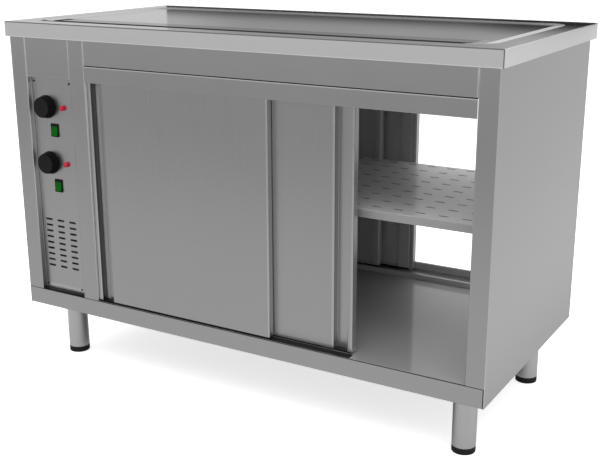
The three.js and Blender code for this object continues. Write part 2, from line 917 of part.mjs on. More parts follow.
// A cover of the control bay, in front or behind: a pan with its flanges towards the inside
function bayCover(face, inwards, low, high) {
  const middle = face + inwards * half;
  const deep = face + inwards * (sheet + panelFlange);
  const section = folded(
    [
      [bayCoverLeft + half, deep],
      [bayCoverLeft + half, middle],
      [bayCoverRight - half, middle],
      [bayCoverRight - half, deep],
    ],
    sheet,
  );
  return alongZ([section], low, high);
}

// Control panel with its vents and the holes for shafts, lamps and switches
const switchBodyWidth = rockerWidth + 2 * gap + 2 * switchWall;
const switchBodyHeight = rockerHeight + 2 * rockerPlay + 2 * switchWall;

function controlPanel() {
  const low = floorTop + panelFoot;
  const high = bodyTop + gap - headerHeight - gap;
  const holes = controlLines.flatMap((z) => [
    circleOutline(knobPlace, z, shaftRadius + overrun, holeSides),
    circleOutline(lampPlace, z + lampRise, lampStemRadius + gap, holeSides),
    rectangle(
      switchPlace - switchBodyWidth / 2 - gap,
      switchPlace + switchBodyWidth / 2 + gap,
      z - switchDrop - switchBodyHeight / 2 - gap,
      z - switchDrop + switchBodyHeight / 2 + gap,
    ),
  ]);
  const cuts = ventOutlines(ventRows, ventTop).concat(holes);
  return bayCover(panelRecess, 1, low, high)
    .subtract(alongY(cuts, panelRecess - overrun, panelRecess + sheet + overrun));
}

// Knob: a thin skirt and a tapered grip, bored for its shaft
function knob(z) {
  const skirtTop = knobSkirt;
  const gripTop = knobSkirt + knobGrip;
  const topRadius = knobGripRadius - knobGripTaper;
  const bore = shaftRadius + gap;
  return turnedOutwards(
    [
      [0, shaftInKnob],
      [bore, shaftInKnob],
      [bore, 0],
      [knobSkirtRadius, 0],
      [knobSkirtRadius, skirtTop / 2],
      [knobSkirtRadius - knobEdge, skirtTop],
      [knobGripRadius, skirtTop],
      [topRadius, gripTop - knobEdge],
      [topRadius - knobEdge, gripTop],
      [0, gripTop],
    ],
    roundSides,
  ).translate([knobPlace, panelRecess - gap, z]);
}

function knobShaft(z) {
  const tip = panelRecess - gap - shaftInKnob + gap;
  const root = panelRecess + sheet + shaftInThermostat;
  return alongY([circleOutline(knobPlace, z, shaftRadius, holeSides)], tip, root);
}

function thermostat(z) {
  const front = panelRecess + sheet + gap;
  const side = thermostatWidth / 2;
  const ring = (d) =>
    roundedRing(knobPlace - side, knobPlace + side, z - side, z + side, thermostatCornerRadius, d);
  const casing = alongY([ring(front).map((point) => [point.x, point.y])], front, front + thermostatDepth);
  const bore = circleOutline(knobPlace, z, shaftRadius + gap, holeSides);
  return casing.subtract(alongY([bore], front - overrun, front + shaftInThermostat));
}

// Pilot lamp: a domed lens on a stem through the panel
function pilotLamp(z) {
  const dome = Array.from({ length: domeSteps }, (_, k) => {
    const angle = (k * Math.PI) / (2 * domeSteps);
    return [lampRadius * Math.cos(angle), (lampHead / 2) * (1 + Math.sin(angle))];
  });
  const stem = [[0, -lampStem], [lampStemRadius, -lampStem], [lampStemRadius, 0], [lampRadius, 0]];
  const profile = [...stem, ...dome, [0, lampHead]];
  return turnedOutwards(profile, lampSides).translate([lampPlace, panelRecess - gap, z + lampRise]);
}

// Switch housing: a bezel on the panel and a box behind it, open in front for the rocker
const rockerAxisDepth = panelRecess + rockerBehindPanelFace;
const pocketDepth = rockerAxisDepth + rockerBack + rockerBackPlay;

function switchHousing(z) {
  const middle = z - switchDrop;
  const front = panelRecess - gap - bezelThickness;
  const bezel = roundedRing(
    switchPlace - bezelWidth / 2,
    switchPlace + bezelWidth / 2,
    middle - bezelHeight / 2,
    middle + bezelHeight / 2,
    bezelCornerRadius,
    front,
  ).map((point) => [point.x, point.y]);
  const [bodyU, bodyZ] = [switchBodyWidth / 2, switchBodyHeight / 2];
  const body = rectangle(switchPlace - bodyU, switchPlace + bodyU, middle - bodyZ, middle + bodyZ);
  const [pocketU, pocketZ] = [bodyU - switchWall, bodyZ - switchWall];
  const pocket = rectangle(switchPlace - pocketU, switchPlace + pocketU, middle - pocketZ, middle + pocketZ);
  return alongY([bezel], front, panelRecess - gap)
    .add(alongY([body], front + bezelThickness / 2, panelRecess + switchDepth))
    .subtract(alongY([pocket], front - overrun, pocketDepth));
}

// Rocker: shallow V in front, turned about its axle so that its upper half lies pressed in
function switchRocker(z) {
  const reach = rockerHeight / 2;
  const valley = rockerRise - reach * Math.tan(THREE.MathUtils.degToRad(rockerTilt));
  const side = [
    [rockerBack, -reach],
    [rockerBack, reach],
    [-rockerRise, reach],
    [-valley, 0],
    [-rockerRise, -reach],
  ];
  return alongX([side], -rockerWidth / 2, rockerWidth / 2)
    .rotate([-rockerTilt, 0, 0])
    .translate([switchPlace, rockerAxisDepth, z - switchDrop]);
}

// Rear cover of the control bay, with vents and the hole for the cable gland
function rearServiceCover() {
  const face = bodyDepth;
  const gland = circleOutline(ventPlace, glandHeight, glandThreadRadius + gap, roundSides);
  const cuts = ventOutlines(rearVentRows, rearVentTop).concat([gland]);
  return bayCover(face, -1, sillTop + gap, bodyTop)
    .subtract(alongY(cuts, face - sheet - overrun, face + overrun));
}

// Cable gland: hexagon nut, round cap and threaded tail, bored right through
function cableGland() {
  const face = bodyDepth + gap;
  const at = (radius, sides) => circleOutline(ventPlace, glandHeight, radius, sides);
  const end = face + glandNut + glandCap;
  return alongY([at(glandNutRadius, 6)], face, face + glandNut)
    .add(alongY([at(glandCapRadius, roundSides)], face + glandNut / 2, end))
    .add(alongY([at(glandThreadRadius, roundSides)], face - glandTail, face + glandNut / 2))
    .subtract(alongY([at(glandBore, holeSides)], face - glandTail - overrun, end + overrun));
}

// The assembly
const table = new THREE.Group();

function add(name, shape, finish) {
  const mesh = new THREE.Mesh(geometryOf(shape), new THREE.MeshStandardMaterial(finish));
  mesh.name = name;
  table.add(mesh);
}

add("worktop", worktop(), polishedSteel);
add("heater_tray", heaterTray(), brushedSteel);
add("top_heater", topHeater(), heaterSteel);
add("left_side_panel", sidePanel(leftPillar, false), brushedSteel);
add("right_side_panel", sidePanel(rightPillar, true), brushedSteel);
add("right_liner", rightLiner(), brushedSteel);
add("chamber_partition", chamberPartition(), brushedSteel);
add("control_header", controlHeader(), brushedSteel);
add("front_fascia", frontFascia(), brushedSteel);
add("front_track_cover", frontTrackCover(), brushedSteel);
add("rear_fascia", rearFascia(), brushedSteel);
add("front_track", doorTrack(frontTrackLine, frontTrackLine + doorPitch), polishedSteel);
add("rear_track", doorTrack(rearTrackLine, rearTrackLine - doorPitch), polishedSteel);
add("ceiling_tray", ceilingTray(), brushedSteel);
add("floor_panel", floorPanel(), polishedSteel);
add("base_front_strip", baseFrontStrip(), brushedSteel);
add("rear_sill", rearSill(), brushedSteel);

const legPlaces = {
  front_left: [legSide, legEnd],
  front_right: [bodyLength - legSide, legEnd],
  rear_left: [legSide, bodyDepth - legEnd],
  rear_right: [bodyLength - legSide, bodyDepth - legEnd],
};
add("left_leg_rail", legRail(legSide), brushedSteel);
add("right_leg_rail", legRail(bodyLength - legSide), brushedSteel);
for (const [corner, [u, d]] of Object.entries(legPlaces)) {
  add(corner + "_leg", leg(u, d), brushedSteel);
  add(corner + "_foot", foot(u, d), blackRubber);
}

const doorHome = { left: chamberLeft + doorEndPlay, right: chamberRight - doorEndPlay - doorWidth };
const frontDoorFoot = floorTop + glidePlay + glideThickness + gap;
const rearDoorFoot = sillTread + glidePlay + glideThickness + gap;
doorPieces("front_outer_door", {
  rear: false,
  inner: false,
  left: doorHome.left,
  doorFoot: frontDoorFoot,
});
doorPieces("front_inner_door", {
  rear: false,
  inner: true,
  left: doorHome.right - frontInnerDoorOpenShare * doorTravel,
  doorFoot: frontDoorFoot,
});
doorPieces("rear_inner_door", {
  rear: true,
  inner: true,
  left: doorHome.left,
  doorFoot: rearDoorFoot,
});
doorPieces("rear_outer_door", {
  rear: true,
  inner: false,
  left: doorHome.right - rearOuterDoorOpenShare * doorTravel,
  doorFoot: rearDoorFoot,
});

add("perforated_shelf", perforatedShelf(), brushedSteel);
add("left_shelf_rail", shelfRail(chamberLeft, 1), brushedSteel);
add("right_shelf_rail", shelfRail(chamberRight, -1), brushedSteel);
add("chamber_heater", chamberHeater(), heaterSteel);

add("control_panel", controlPanel(), brushedSteel);
controlLines.forEach((z, line) => {
  const which = ["upper", "lower"][line];
  add(which + "_knob", knob(z), blackPlastic);
  add(which + "_knob_shaft", knobShaft(z), polishedSteel);
  add(which + "_thermostat", thermostat(z), blackPlastic);
  add(which + "_pilot_lamp", pilotLamp(z), redLens);
  add(which + "_switch_housing", switchHousing(z), blackPlastic);
  add(which + "_switch_rocker", switchRocker(z), greenRocker);
});
add("rear_service_cover", rearServiceCover(), brushedSteel);
add("cable_gland", cableGland(), blackPlastic);

// The body's frame stands in the table's own: its left front corner is in from the worktop's
table.position.set(sideOverhang - worktopLength / 2, frontOverhang - worktopDepth / 2, 0);

const hotFoodTable = new THREE.Group();
hotFoodTable.add(table);

export default hotFoodTable;
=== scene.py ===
# %% [markdown]
# # A hot food table in folded stainless steel
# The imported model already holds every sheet, door and control in its true place. This lesson
# dresses it: a camera, a plain studio, finishes worked out from noise, and finer turned and
# moulded pieces where the plain solids are too coarse. Everything is in metres.

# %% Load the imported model
import math

import bmesh
import bpy
from mathutils import Matrix, Vector


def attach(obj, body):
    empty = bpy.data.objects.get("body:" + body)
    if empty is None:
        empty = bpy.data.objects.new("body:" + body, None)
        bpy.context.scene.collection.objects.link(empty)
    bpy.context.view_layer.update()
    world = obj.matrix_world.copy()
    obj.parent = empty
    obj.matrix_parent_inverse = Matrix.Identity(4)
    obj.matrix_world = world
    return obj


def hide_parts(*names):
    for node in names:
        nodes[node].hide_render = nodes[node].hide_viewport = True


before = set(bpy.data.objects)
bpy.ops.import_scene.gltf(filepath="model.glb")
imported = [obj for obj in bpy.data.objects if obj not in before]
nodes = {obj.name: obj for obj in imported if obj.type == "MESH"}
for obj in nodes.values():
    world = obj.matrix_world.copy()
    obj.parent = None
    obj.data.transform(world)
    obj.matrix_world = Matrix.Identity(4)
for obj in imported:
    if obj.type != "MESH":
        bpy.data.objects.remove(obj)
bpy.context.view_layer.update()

# %% [markdown]
# Sheet-metal drawings measure from the body, not from the middle of the room. Here u runs from
# the body's left side, d from its front face and z from the ground, all in millimetres. One small
# function turns such a place into the model's own metres, so the numbers stay easy to read, and
# two more give one measure alone. The worktop reaches further back than front, so the middle of
# the body's depth isn't the middle of the model.

# %% The body's own measure
BODY_LENGTH = 1186.4
BODY_DEPTH = 568.2
BODY_FORWARD = 9.1
MM = 0.001


def at(u, d, z):
    return Vector((u - BODY_LENGTH / 2, d - BODY_DEPTH / 2 - BODY_FORWARD, z)) * MM


def x_at(u):
    return at(u, 0, 0).x


def y_at(d):
    return at(0, d, 0).y


print("front left foot of the body", at(0, 0, 0))

# %% [markdown]
# The camera stands in front of the right end, a little above the worktop, and looks down on the
# table by about sixteen degrees. Its turn, drop and roll were solved from the corners of the
# worktop, the body and the legs. Building the matrix from three directions keeps the angles plain.

# %% Camera
CAMERA_PLACE = Vector((1.1901, -1.9793, 1.0224))
LENS, SENSOR = 60.515, 36

turn, drop, roll = 0.5370213604, 0.2857238850, -0.0034778959
forward = Vector(
    (-math.sin(turn) * math.cos(drop), math.cos(turn) * math.cos(drop), -math.sin(drop))
)
level_right = Vector((math.cos(turn), math.sin(turn), 0))
level_up = level_right.cross(forward)
camera_right = level_right * math.cos(roll) + level_up * math.sin(roll)
camera_up = level_up * math.cos(roll) - level_right * math.sin(roll)
camera = bpy.data.objects.new("camera", bpy.data.cameras.new("camera"))
camera.data.sensor_width = SENSOR
camera.data.lens = LENS
turned_axes = Matrix((camera_right, camera_up, -forward)).transposed()
camera.matrix_world = Matrix.Translation(CAMERA_PLACE) @ turned_axes.to_4x4()
bpy.context.scene.collection.objects.link(camera)
bpy.context.scene.camera = camera
bpy.context.scene.view_settings.view_transform = "Standard"
print("camera at", CAMERA_PLACE, "lens", LENS)

# %% [markdown]
# Finishes are worked out with shader nodes. Linking nodes by hand hides the idea, so one small
# class wraps a node's output and lets plain Python arithmetic make the Math nodes. Colours never
# go through a Math node, which would turn them grey: they go through Mix. One method makes any
# other kind of node from its type, its settings and the values or links of its sockets.

# %% Shader arithmetic
class Signal:
    def __init__(self, tree, socket=None):
        self.tree = tree
        self.socket = socket

    def node(self, kind, settings=None, inputs=None, output=0):
        made = self.tree.nodes.new(kind)
        for key, value in (settings or {}).items():
            setattr(made, key, value)
        for key, value in (inputs or {}).items():
            if isinstance(value, Signal):
                self.tree.links.new(value.socket, made.inputs[key])
            else:
                made.inputs[key].default_value = value
        return Signal(self.tree, made.outputs[output])

    def maths(self, operation, first, second=0.0):
        return self.node("ShaderNodeMath", {"operation": operation}, {0: first, 1: second})

    def __add__(self, other):
        return self.maths("ADD", self, other)

    def __sub__(self, other):
        return self.maths("SUBTRACT", self, other)

    def __rsub__(self, other):
        return self.maths("SUBTRACT", other, self)

    def __mul__(self, other):
        return self.maths("MULTIPLY", self, other)

    def __truediv__(self, other):
        return self.maths("DIVIDE", self, other)

    __radd__ = __add__
    __rmul__ = __mul__

    def size(self):
        return self.maths("ABSOLUTE", self)

    def most(self, other):
        return self.maths("MAXIMUM", self, other)

    def root(self):
        return self.maths("SQRT", self)

    def step(self, low, high, start=0.0, end=1.0):
        ends = {"Value": self, "From Min": low, "From Max": high, "To Min": start, "To Max": end}
        return self.node("ShaderNodeMapRange", {"interpolation_type": "SMOOTHSTEP"}, ends)

    def blend(self, low, high):
        ends = {0: self, 6: low, 7: high}
        return self.node("ShaderNodeMix", {"data_type": "RGBA"}, ends, output=2)

    def noise(self, stretch, detail=2.0, roughness=0.5):
        spread = self.node("ShaderNodeMapping", None, {"Vector": self, "Scale": stretch})
        sockets = {"Vector": spread, "Scale": 1.0, "Detail": detail, "Roughness": roughness}
        return self.node("ShaderNodeTexNoise", None, sockets)

    def near(self, middle, outer, inner):
        return (self - middle).size().step(outer, inner)

    def part(self, axis):
        return self.node("ShaderNodeSeparateXYZ", None, {0: self}, output=axis)

    def normal(self):
        return self.node("ShaderNodeNewGeometry", output="Normal")


def grey(level):
    return (level, level, level, 1.0)


print("arithmetic on shader sockets is ready")

# %% [markdown]
# The studio is a plain white room. The world shows as pure white to the camera, and also to
# mirror and see-through rays, so steel shows the same background as the eye does. Matt surfaces
# get a softer share of it, because a lamp adds the rest. The wrapped light path tells which kind
# of ray asks.

# %% World
def surface(shader, kind="ShaderNodeOutputMaterial"):
    output = shader.tree.nodes.new(kind)
    shader.tree.links.new(shader.socket, output.inputs["Surface"])


world = bpy.data.worlds.new("white_room")
bpy.context.scene.world = world
world.use_nodes = True
world.node_tree.nodes.clear()
room = Signal(world.node_tree)
to_camera, to_mirror, see_through = (
    room.node("ShaderNodeLightPath", output=name)
    for name in ("Is Camera Ray", "Is Glossy Ray", "Is Transmission Ray")
)
seen_directly = to_camera.most(to_mirror).most(see_through)
soft = room.node("ShaderNodeBackground", None, {"Color": grey(1.0), "Strength": 0.75})
white = room.node("ShaderNodeBackground", None, {"Color": grey(1.0), "Strength": 1.0})
shown = room.node("ShaderNodeMixShader", None, {0: seen_directly, 1: soft, 2: white})
surface(shown, "ShaderNodeOutputWorld")
print("world", world.name)

# %% [markdown]
# Two wide square lamps light the matt surfaces from above. The stronger one stands in front on
# the right and gives the soft shadow under the table, and the weaker one opens the shadow from
# behind on the left. Mirrors don't show them, so no bright square lies on the steel.

# %% Lamps
LAMP_TARGET = Vector((0, 0, 0.4))
LAMP_WIDTH = 2.6


def soft_lamp(name, place, watts):
    data = bpy.data.lights.new(name, "AREA")
    data.shape = "SQUARE"
    data.size = LAMP_WIDTH
    data.energy = watts
    lamp = bpy.data.objects.new(name, data)
    aim = (LAMP_TARGET - Vector(place)).to_track_quat("-Z", "Y")
    lamp.matrix_world = Matrix.Translation(place) @ aim.to_matrix().to_4x4()
    lamp.visible_glossy = False
    bpy.context.scene.collection.objects.link(lamp)
    print(name, "at", place, watts, "W")


soft_lamp("key_lamp", (1.4, -1.6, 3.2), 110)
soft_lamp("fill_lamp", (-1.8, 1.2, 3.0), 45)

# %% [markdown]
# What stands in the studio but isn't part of the table, such as the floor, is a flat grid with a
# finish of its own. One helper turns such a grid into a staged object and hands back a signal in
# the empty node tree of its finish.

# %% Helper for staged things
def staged(name, shape):
    mesh = bpy.data.meshes.new(name)
    shape.to_mesh(mesh)
    shape.free()
    thing = bpy.data.objects.new(name, mesh)
    bpy.context.scene.collection.objects.link(thing)
    finish = bpy.data.materials.new(name + "_finish")
    finish.use_nodes = True
    finish.node_tree.nodes.clear()
    mesh.materials.append(finish)
    print("staged", name)
    return thing, Signal(finish.node_tree)


# %% [markdown]
# Bare steel has no colour of its own: it shows the floor and the walls of the studio. For mirror
# rays the floor is painted: in front of the table it is painted a little darker and falls away
# with distance, so front and sides part clearly in the picture and the front grows lighter
# towards its foot. Beside the table it is painted lighter, and under the table it carries a
# painted shadow. This paint is for mirror rays only, so the steel shows it as a painted
# reflection. The eye sees white, with the soft shadow kept.

# %% Floor
FLOOR_HALF = 14
TABLE_END, TABLE_SIDE = 0.6, 0.3

floor_shape = bmesh.new()
bmesh.ops.create_grid(floor_shape, x_segments=1, y_segments=1, size=FLOOR_HALF)
floor, paint = staged("floor", floor_shape)
spot = paint.node("ShaderNodeTexCoord", output="Object")
to_right, to_back = spot.part("X"), spot.part("Y")
ahead = 0.0 - to_back - TABLE_SIDE
aside = to_right.size() - TABLE_END
front_level = ahead.step(0.9, 3.1, 0.67, 0.34)
side_level = aside.step(0.0, 0.3, 0.62, 0.87) - aside.step(0.3, 0.9, 0.0, 0.13)
side_level = side_level - aside.step(0.9, 2.4, 0.0, 0.09)
open_level = front_level + (side_level - front_level) * ahead.step(0.25, -0.05)
# Painted shadow under the table, seen only in mirror rays
under = aside.step(0.04, -0.18) * (to_back.size() - TABLE_SIDE).step(0.04, -0.18)
level = open_level * (1.0 - under * 0.8)
to_eye = paint.node("ShaderNodeLightPath", output="Is Camera Ray")
in_mirror = paint.node("ShaderNodeLightPath", output="Is Glossy Ray")
matt = paint.node("ShaderNodeBsdfDiffuse", None, {"Color": grey(0.93)})
lift = paint.node("ShaderNodeEmission", None, {"Color": to_eye.blend(grey(0.0), grey(0.62))})
seen = paint.node("ShaderNodeAddShader", None, {0: matt, 1: lift})
glow = paint.node("ShaderNodeEmission", None, {"Color": level.blend(grey(0.0), grey(1.0))})
surface(paint.node("ShaderNodeMixShader", None, {0: in_mirror, 1: seen, 2: glow}))
print(floor.name, "reaches", FLOOR_HALF, "m each way")

# %% [markdown]
# The heated plate lies almost flat to the eye, so it mirrors what stands just behind the table.
# A dark card behind the back edge gives the plate its dark far side. It grows lighter with
# height, and left of the table it is almost white, which leaves the plate's left end bright. Only
# mirror rays see it.

# %% Dark card behind the worktop
CARD_WIDTH, CARD_HEIGHT = 3.1, 0.16
CARD_PLACE = (-0.45, 0.303, 0.911)
CARD_END = -0.600

card_shape = bmesh.new()
bmesh.ops.create_grid(card_shape, x_segments=1, y_segments=1, size=0.5)
bmesh.ops.rotate(card_shape, verts=card_shape.verts, matrix=Matrix.Rotation(math.pi / 2, 3, "X"))
bmesh.ops.scale(card_shape, verts=card_shape.verts, vec=(CARD_WIDTH, 1, CARD_HEIGHT))
bmesh.ops.translate(card_shape, verts=card_shape.verts, vec=CARD_PLACE)
card, ink = staged("dark_card", card_shape)
for kind in ("camera", "diffuse", "transmission", "volume_scatter", "shadow"):
    setattr(card, "visible_" + kind, False)
card_spot = ink.node("ShaderNodeTexCoord", output="Object")
height, along = card_spot.part("Z"), card_spot.part("X")
sideways = along.step(-0.62, -0.30, 1.24, 0.92) + along.step(-0.2, 0.25, 0.0, 0.07)
left_rise = height.step(0.830, 0.868, 0.035, 0.55) * sideways
left_rise = left_rise + height.step(0.868, 0.88, 0.0, -0.08) + height.step(0.9, 1.0, 0.0, 0.2)
right_rise = height.step(0.837, 0.878, 0.02, 0.66)
dark_level = left_rise + (right_rise - left_rise) * along.step(0.26, 0.46)
past_end = along.step(CARD_END + 0.004, CARD_END - 0.004)
card_level = dark_level + (0.85 - dark_level) * past_end
surface(ink.node("ShaderNodeEmission", None, {"Color": card_level.blend(grey(0.0), grey(1.0))}))
print(card.name, "is", CARD_WIDTH, "m wide and", CARD_HEIGHT, "m high")

# %% [markdown]
# A finish starts as an empty Principled shader. What is the same all over the surface, such as
# how metallic steel is, is set on the shader's own socket. What changes is linked: colour,
# roughness and the bump of the grain. Fine dark lines of painted shade, in seams, slots and
# creases, are laid over the finished shader by a Mix Shader, because a mirror at a low angle
# shows through any dark colour of its own.

# %% An empty finish
# Black of the painted shade laid over seams, slot walls and creases
PAINTED_SHADE_BLACK = 0.02


def new_finish(name, constants):
    finish = bpy.data.materials.new(name)
    finish.use_nodes = True
    tree = finish.node_tree
    tree.nodes.clear()
    shader = tree.nodes.new("ShaderNodeBsdfPrincipled")
    for key, value in constants.items():
        shader.inputs[key].default_value = value
    surface(Signal(tree, shader.outputs["BSDF"]))
    place = Signal(tree).node("ShaderNodeTexCoord", output="Object")
    return finish, shader, place


def connect(shader, colour, roughness, normal):
    signals = {"Base Color": colour, "Roughness": roughness, "Normal": normal}
    for key, signal in signals.items():
        signal.tree.links.new(signal.socket, shader.inputs[key])


# Lays dark painted shade over the shader wherever the mask is set
def lay_painted_shade(finish, shader, where):
    tree = finish.node_tree
    steel = Signal(tree, shader.outputs["BSDF"])
    painted_shade = steel.node("ShaderNodeBsdfDiffuse", None, {"Color": grey(PAINTED_SHADE_BLACK)})
    lined = steel.node("ShaderNodeMixShader", None, {0: where, 1: steel, 2: painted_shade})
    output = next(node for node in tree.nodes if node.type == "OUTPUT_MATERIAL")
    tree.links.new(lined.socket, output.inputs["Surface"])


print("empty finish ready")

# %% [markdown]
# Four small tools serve every finish. One mixes noise layers round a middle value, each by its
# own weight. One stretches noise along an axis into streaks. One gives the normal with its edges
# rounded, and how far it agrees with the true normal, which falls off near an edge. The last
# turns a height in metres into a bump.

# %% Tools for finishes
def mixed(middle, *layers):
    total = middle
    for layer, weight in layers:
        total = (layer - 0.5) * weight + total
    return total


def streaks(place, axis, lengthways, sideways, roughness):
    stretch = [sideways] * 3
    stretch["XYZ".index(axis)] = lengthways
    return place.noise(stretch, 2.0, roughness)


def rounding(place, radius, samples=4):
    rounded = place.node("ShaderNodeBevel", {"samples": samples}, {"Radius": radius})
    ends = {0: rounded, 1: place.normal()}
    agreement = place.node("ShaderNodeVectorMath", {"operation": "DOT_PRODUCT"}, ends, "Value")
    return rounded, agreement


def bump_of(height, normal=None):
    inputs = {"Strength": 1.0, "Distance": 1.0, "Height": height}
    if normal:
        inputs["Normal"] = normal
    return height.node("ShaderNodeBump", None, inputs)


print("tools for finishes ready")

# %% [markdown]
# Brushed sheet is steel rubbed in one direction with a fine belt. Fine streaks are the scratches
# themselves and broad ones the faint bands of one belt's pass. Slow noise adds handling marks and
# the slight waves of thin sheet. A fold catches the light along its edge, so the shading normal
# is rounded there, and the turned part is painted a little brighter, partly as edge wear and
# partly as a painted highlight. What belongs to one sheet alone, such as the painted shade in a
# seam, is an extra: a function that changes the colour, the gloss or the painted shade of the
# sheet that it is given.

# %% Brushed steel
class Sheet:
    def __init__(self, place, level, colour, gloss):
        self.place, self.level, self.colour, self.gloss = place, level, colour, gloss
        self.facing = place.normal()
        self.x, self.y, self.z = (place.part(axis) for axis in "XYZ")
        self.painted_shade = None

    def tint(self, where, shade):
        self.colour = where.blend(self.colour, grey(shade))

    # Adds to the mask of dark painted shade laid over this sheet
    def add_painted_shade(self, where):
        self.painted_shade = self.painted_shade.most(where) if self.painted_shade else where


def brushed_steel(name, level, roughness, along, extras=(), fold=0.0012):
    finish, shader, place = new_finish(name, {"Metallic": 1.0})
    scratches = streaks(place, along, 7.0, 900.0, 0.6)
    bands = streaks(place, along, 1.2, 110.0, 0.5)
    marks = place.noise((9.0, 9.0, 9.0), 3.0, 0.55)
    rounded, agreement = rounding(place, fold)
    # Folds painted brighter: partly edge wear, partly a painted highlight
    wear_and_highlight = agreement.step(0.995, 0.9)
    shade = mixed(0.5, (scratches, 0.14), (bands, 0.03), (marks, 0.04))
    colour = shade.blend(grey(level * 0.82), grey(level * 1.18))
    gloss = mixed(roughness, (scratches, 0.08), (marks, 0.04)) - wear_and_highlight * 0.06
    sheet = Sheet(place, level, colour, gloss)
    sheet.tint(wear_and_highlight * 0.6, min(level * 1.5, 0.9))
    for extra, *numbers in extras:
        extra(sheet, *numbers)
    bump = bump_of(scratches * 0.000004 + bands * 0.0000006, rounded)
    connect(shader, sheet.colour, sheet.gloss, bump)
    if sheet.painted_shade:
        lay_painted_shade(finish, shader, sheet.painted_shade)
    print(name, "level", level, "roughness", roughness, "grain along", along)
    return finish


# %% [markdown]
# A bright fold is a painted highlight: a thin vertical line on the front where a fold catches the
# light, and it fades in from one height to another. The body's own folds add three patches of
# painted light: the side of the post beside the door is painted bright, the wall beside the
# recessed control panel is painted in half shade, and the right front corner is painted with a
# highlight. A lighter foot is the lowest centimetre or so, painted lighter towards the bottom.

# %% Extras for folds
FRONT_FROM, FRONT_TO = y_at(31.2), y_at(23.2)
PANEL_REVEAL = 46.0
LIGHTER_FOOT_BOTTOM = 0.190


# Painted highlight: a thin bright line along a fold
def painted_fold_highlight(sheet, u, foot, full, strength):
    line = sheet.z.step(foot, full) * sheet.x.near(x_at(u), 0.0028, 0.0015)
    sheet.tint(line * sheet.y.step(FRONT_FROM, FRONT_TO) * strength, 0.85)


def body_painted_light(sheet):
    rightwards = sheet.facing.part("X").step(0.6, 0.8)
    # Painted highlight on the side of the post beside the door
    at_post = sheet.x.step(x_at(217.2), x_at(218.2)) * sheet.x.step(x_at(224.2), x_at(223.2))
    beside_door = sheet.y.step(y_at(25.2), y_at(19.2))
    sheet.tint(rightwards * at_post * beside_door, min(sheet.level * 1.9, 0.9))
    # Painted half shade on the wall beside the recessed control panel
    reveal = rightwards * sheet.x.near(x_at(PANEL_REVEAL), 0.0008, 0.0004)
    sheet.tint(reveal, sheet.level * 0.5)
    # Painted highlight on the right front corner
    corner = sheet.x.step(x_at(1183.2), x_at(1185.2)) * sheet.y.step(y_at(2.7), y_at(1.7))
    sheet.tint(rightwards * corner * 0.5, 0.8)


def lighter_foot(sheet, limit):
    # Painted lighter towards the bottom, over the lowest centimetre or so
    sheet.tint(sheet.z.step(limit, LIGHTER_FOOT_BOTTOM) * 0.7, 0.8)


print("front zone from", FRONT_FROM, "to", FRONT_TO)

# %% [markdown]
# Four more extras. A seam is painted in shade: all that lies past a limit on one axis is darkened.
# Vents have the walls and the rims of the slots painted in shade, within the field of slots round
# the middle of the control bay. The finger channel of a door has its side wall painted in shade
# and its back beside the wall painted bright. The inner side of a sheet is left as it came from
# the mill, paler and duller.

# %% Extras for seams, vents and channels
VENTS_MIDDLE = 107.2
VENTS_HALF_WIDTH = 0.058


def seam(sheet, axis, limit, way):
    past = (sheet.place.part(axis) - limit) * way
    # Painted shade in the seam: all past the limit is laid over with dark
    sheet.add_painted_shade(past.step(-0.0003, 0.0003))


def vents(sheet, middle, half_height):
    field = sheet.x.near(x_at(VENTS_MIDDLE), VENTS_HALF_WIDTH + 0.002, VENTS_HALF_WIDTH)
    field = field * sheet.z.near(middle, half_height + 0.002, half_height)
    # Painted shade on the walls and rims of the slots
    rim = rounding(sheet.place, 0.0024, samples=6)[1].step(0.9999, 0.992)
    wall = sheet.facing.part("Y").size().step(0.7, 0.3)
    sheet.add_painted_shade(rim.most(wall) * field)


def finger_channel_painted_light(sheet, u):
    past = (sheet.x - x_at(u)) * 1000.0
    # Painted shade on the channel's side wall
    wall = past.step(-0.8, -0.2) * past.step(2.0, 1.0)
    sheet.tint(wall * sheet.facing.part("Y").step(0.9, 0.5) * 0.85, 0.05)
    # Painted highlight on the channel's back beside the wall
    back = past.step(1.6, 2.2) * past.step(16.0, 5.0)
    sheet.tint(back * 0.9, 0.95)
    sheet.gloss = sheet.gloss + back * 0.3


def mill_side(sheet, way):
    inner = (sheet.facing.part("Y") * way).step(0.4, 0.8)
    sheet.gloss = sheet.gloss + inner * 0.32
    sheet.tint(inner, 0.82)


print("vents round", VENTS_MIDDLE)

# %% [markdown]
# Each sheet gets its own brushed finish: how bright, how rough, along which axis the belt ran,
# and its extras. Fronts are alike within a hundredth, so that the table reads as one batch.

# %% Brushed finishes
body_extras = (
    (body_painted_light,),
    (painted_fold_highlight, 46.0, 0.19, 0.5, 0.7),
    (painted_fold_highlight, 178.0, 0.704, 0.707, 0.5),
    (painted_fold_highlight, 222.0, 0.3, 0.65, 0.6),
    (painted_fold_highlight, 1146.4, 0.70, 0.71, 0.7),
)
inner_door_extras = (
    (painted_fold_highlight, 843.8, 0.19, 0.2, 0.3),
    (painted_fold_highlight, 888.0, 0.19, 0.2, 0.3),
    (lighter_foot, 0.204),
    (mill_side, 1.0),
)
outer_door_extras = (
    (painted_fold_highlight, 232.4, 0.19, 0.2, 0.35),
    (painted_fold_highlight, 699.0, 0.19, 0.2, 0.35),
    (finger_channel_painted_light, 234.6),
    (mill_side, 1.0),
)
rear_extras = ((mill_side, -1.0),)
panel_extras = ((vents, 0.3135, 0.075), (lighter_foot, 0.206))
strip_extras = ((seam, "Z", 0.1848, 1.0), (seam, "X", 0.5900, 1.0))
body_lengthways = brushed_steel("body_steel_lengthways", 0.45, 0.30, "X", body_extras)
body_upright = brushed_steel("body_steel_upright", 0.45, 0.30, "Z", body_extras)
front_door_steel = brushed_steel("front_door_steel", 0.45, 0.29, "Z", inner_door_extras)
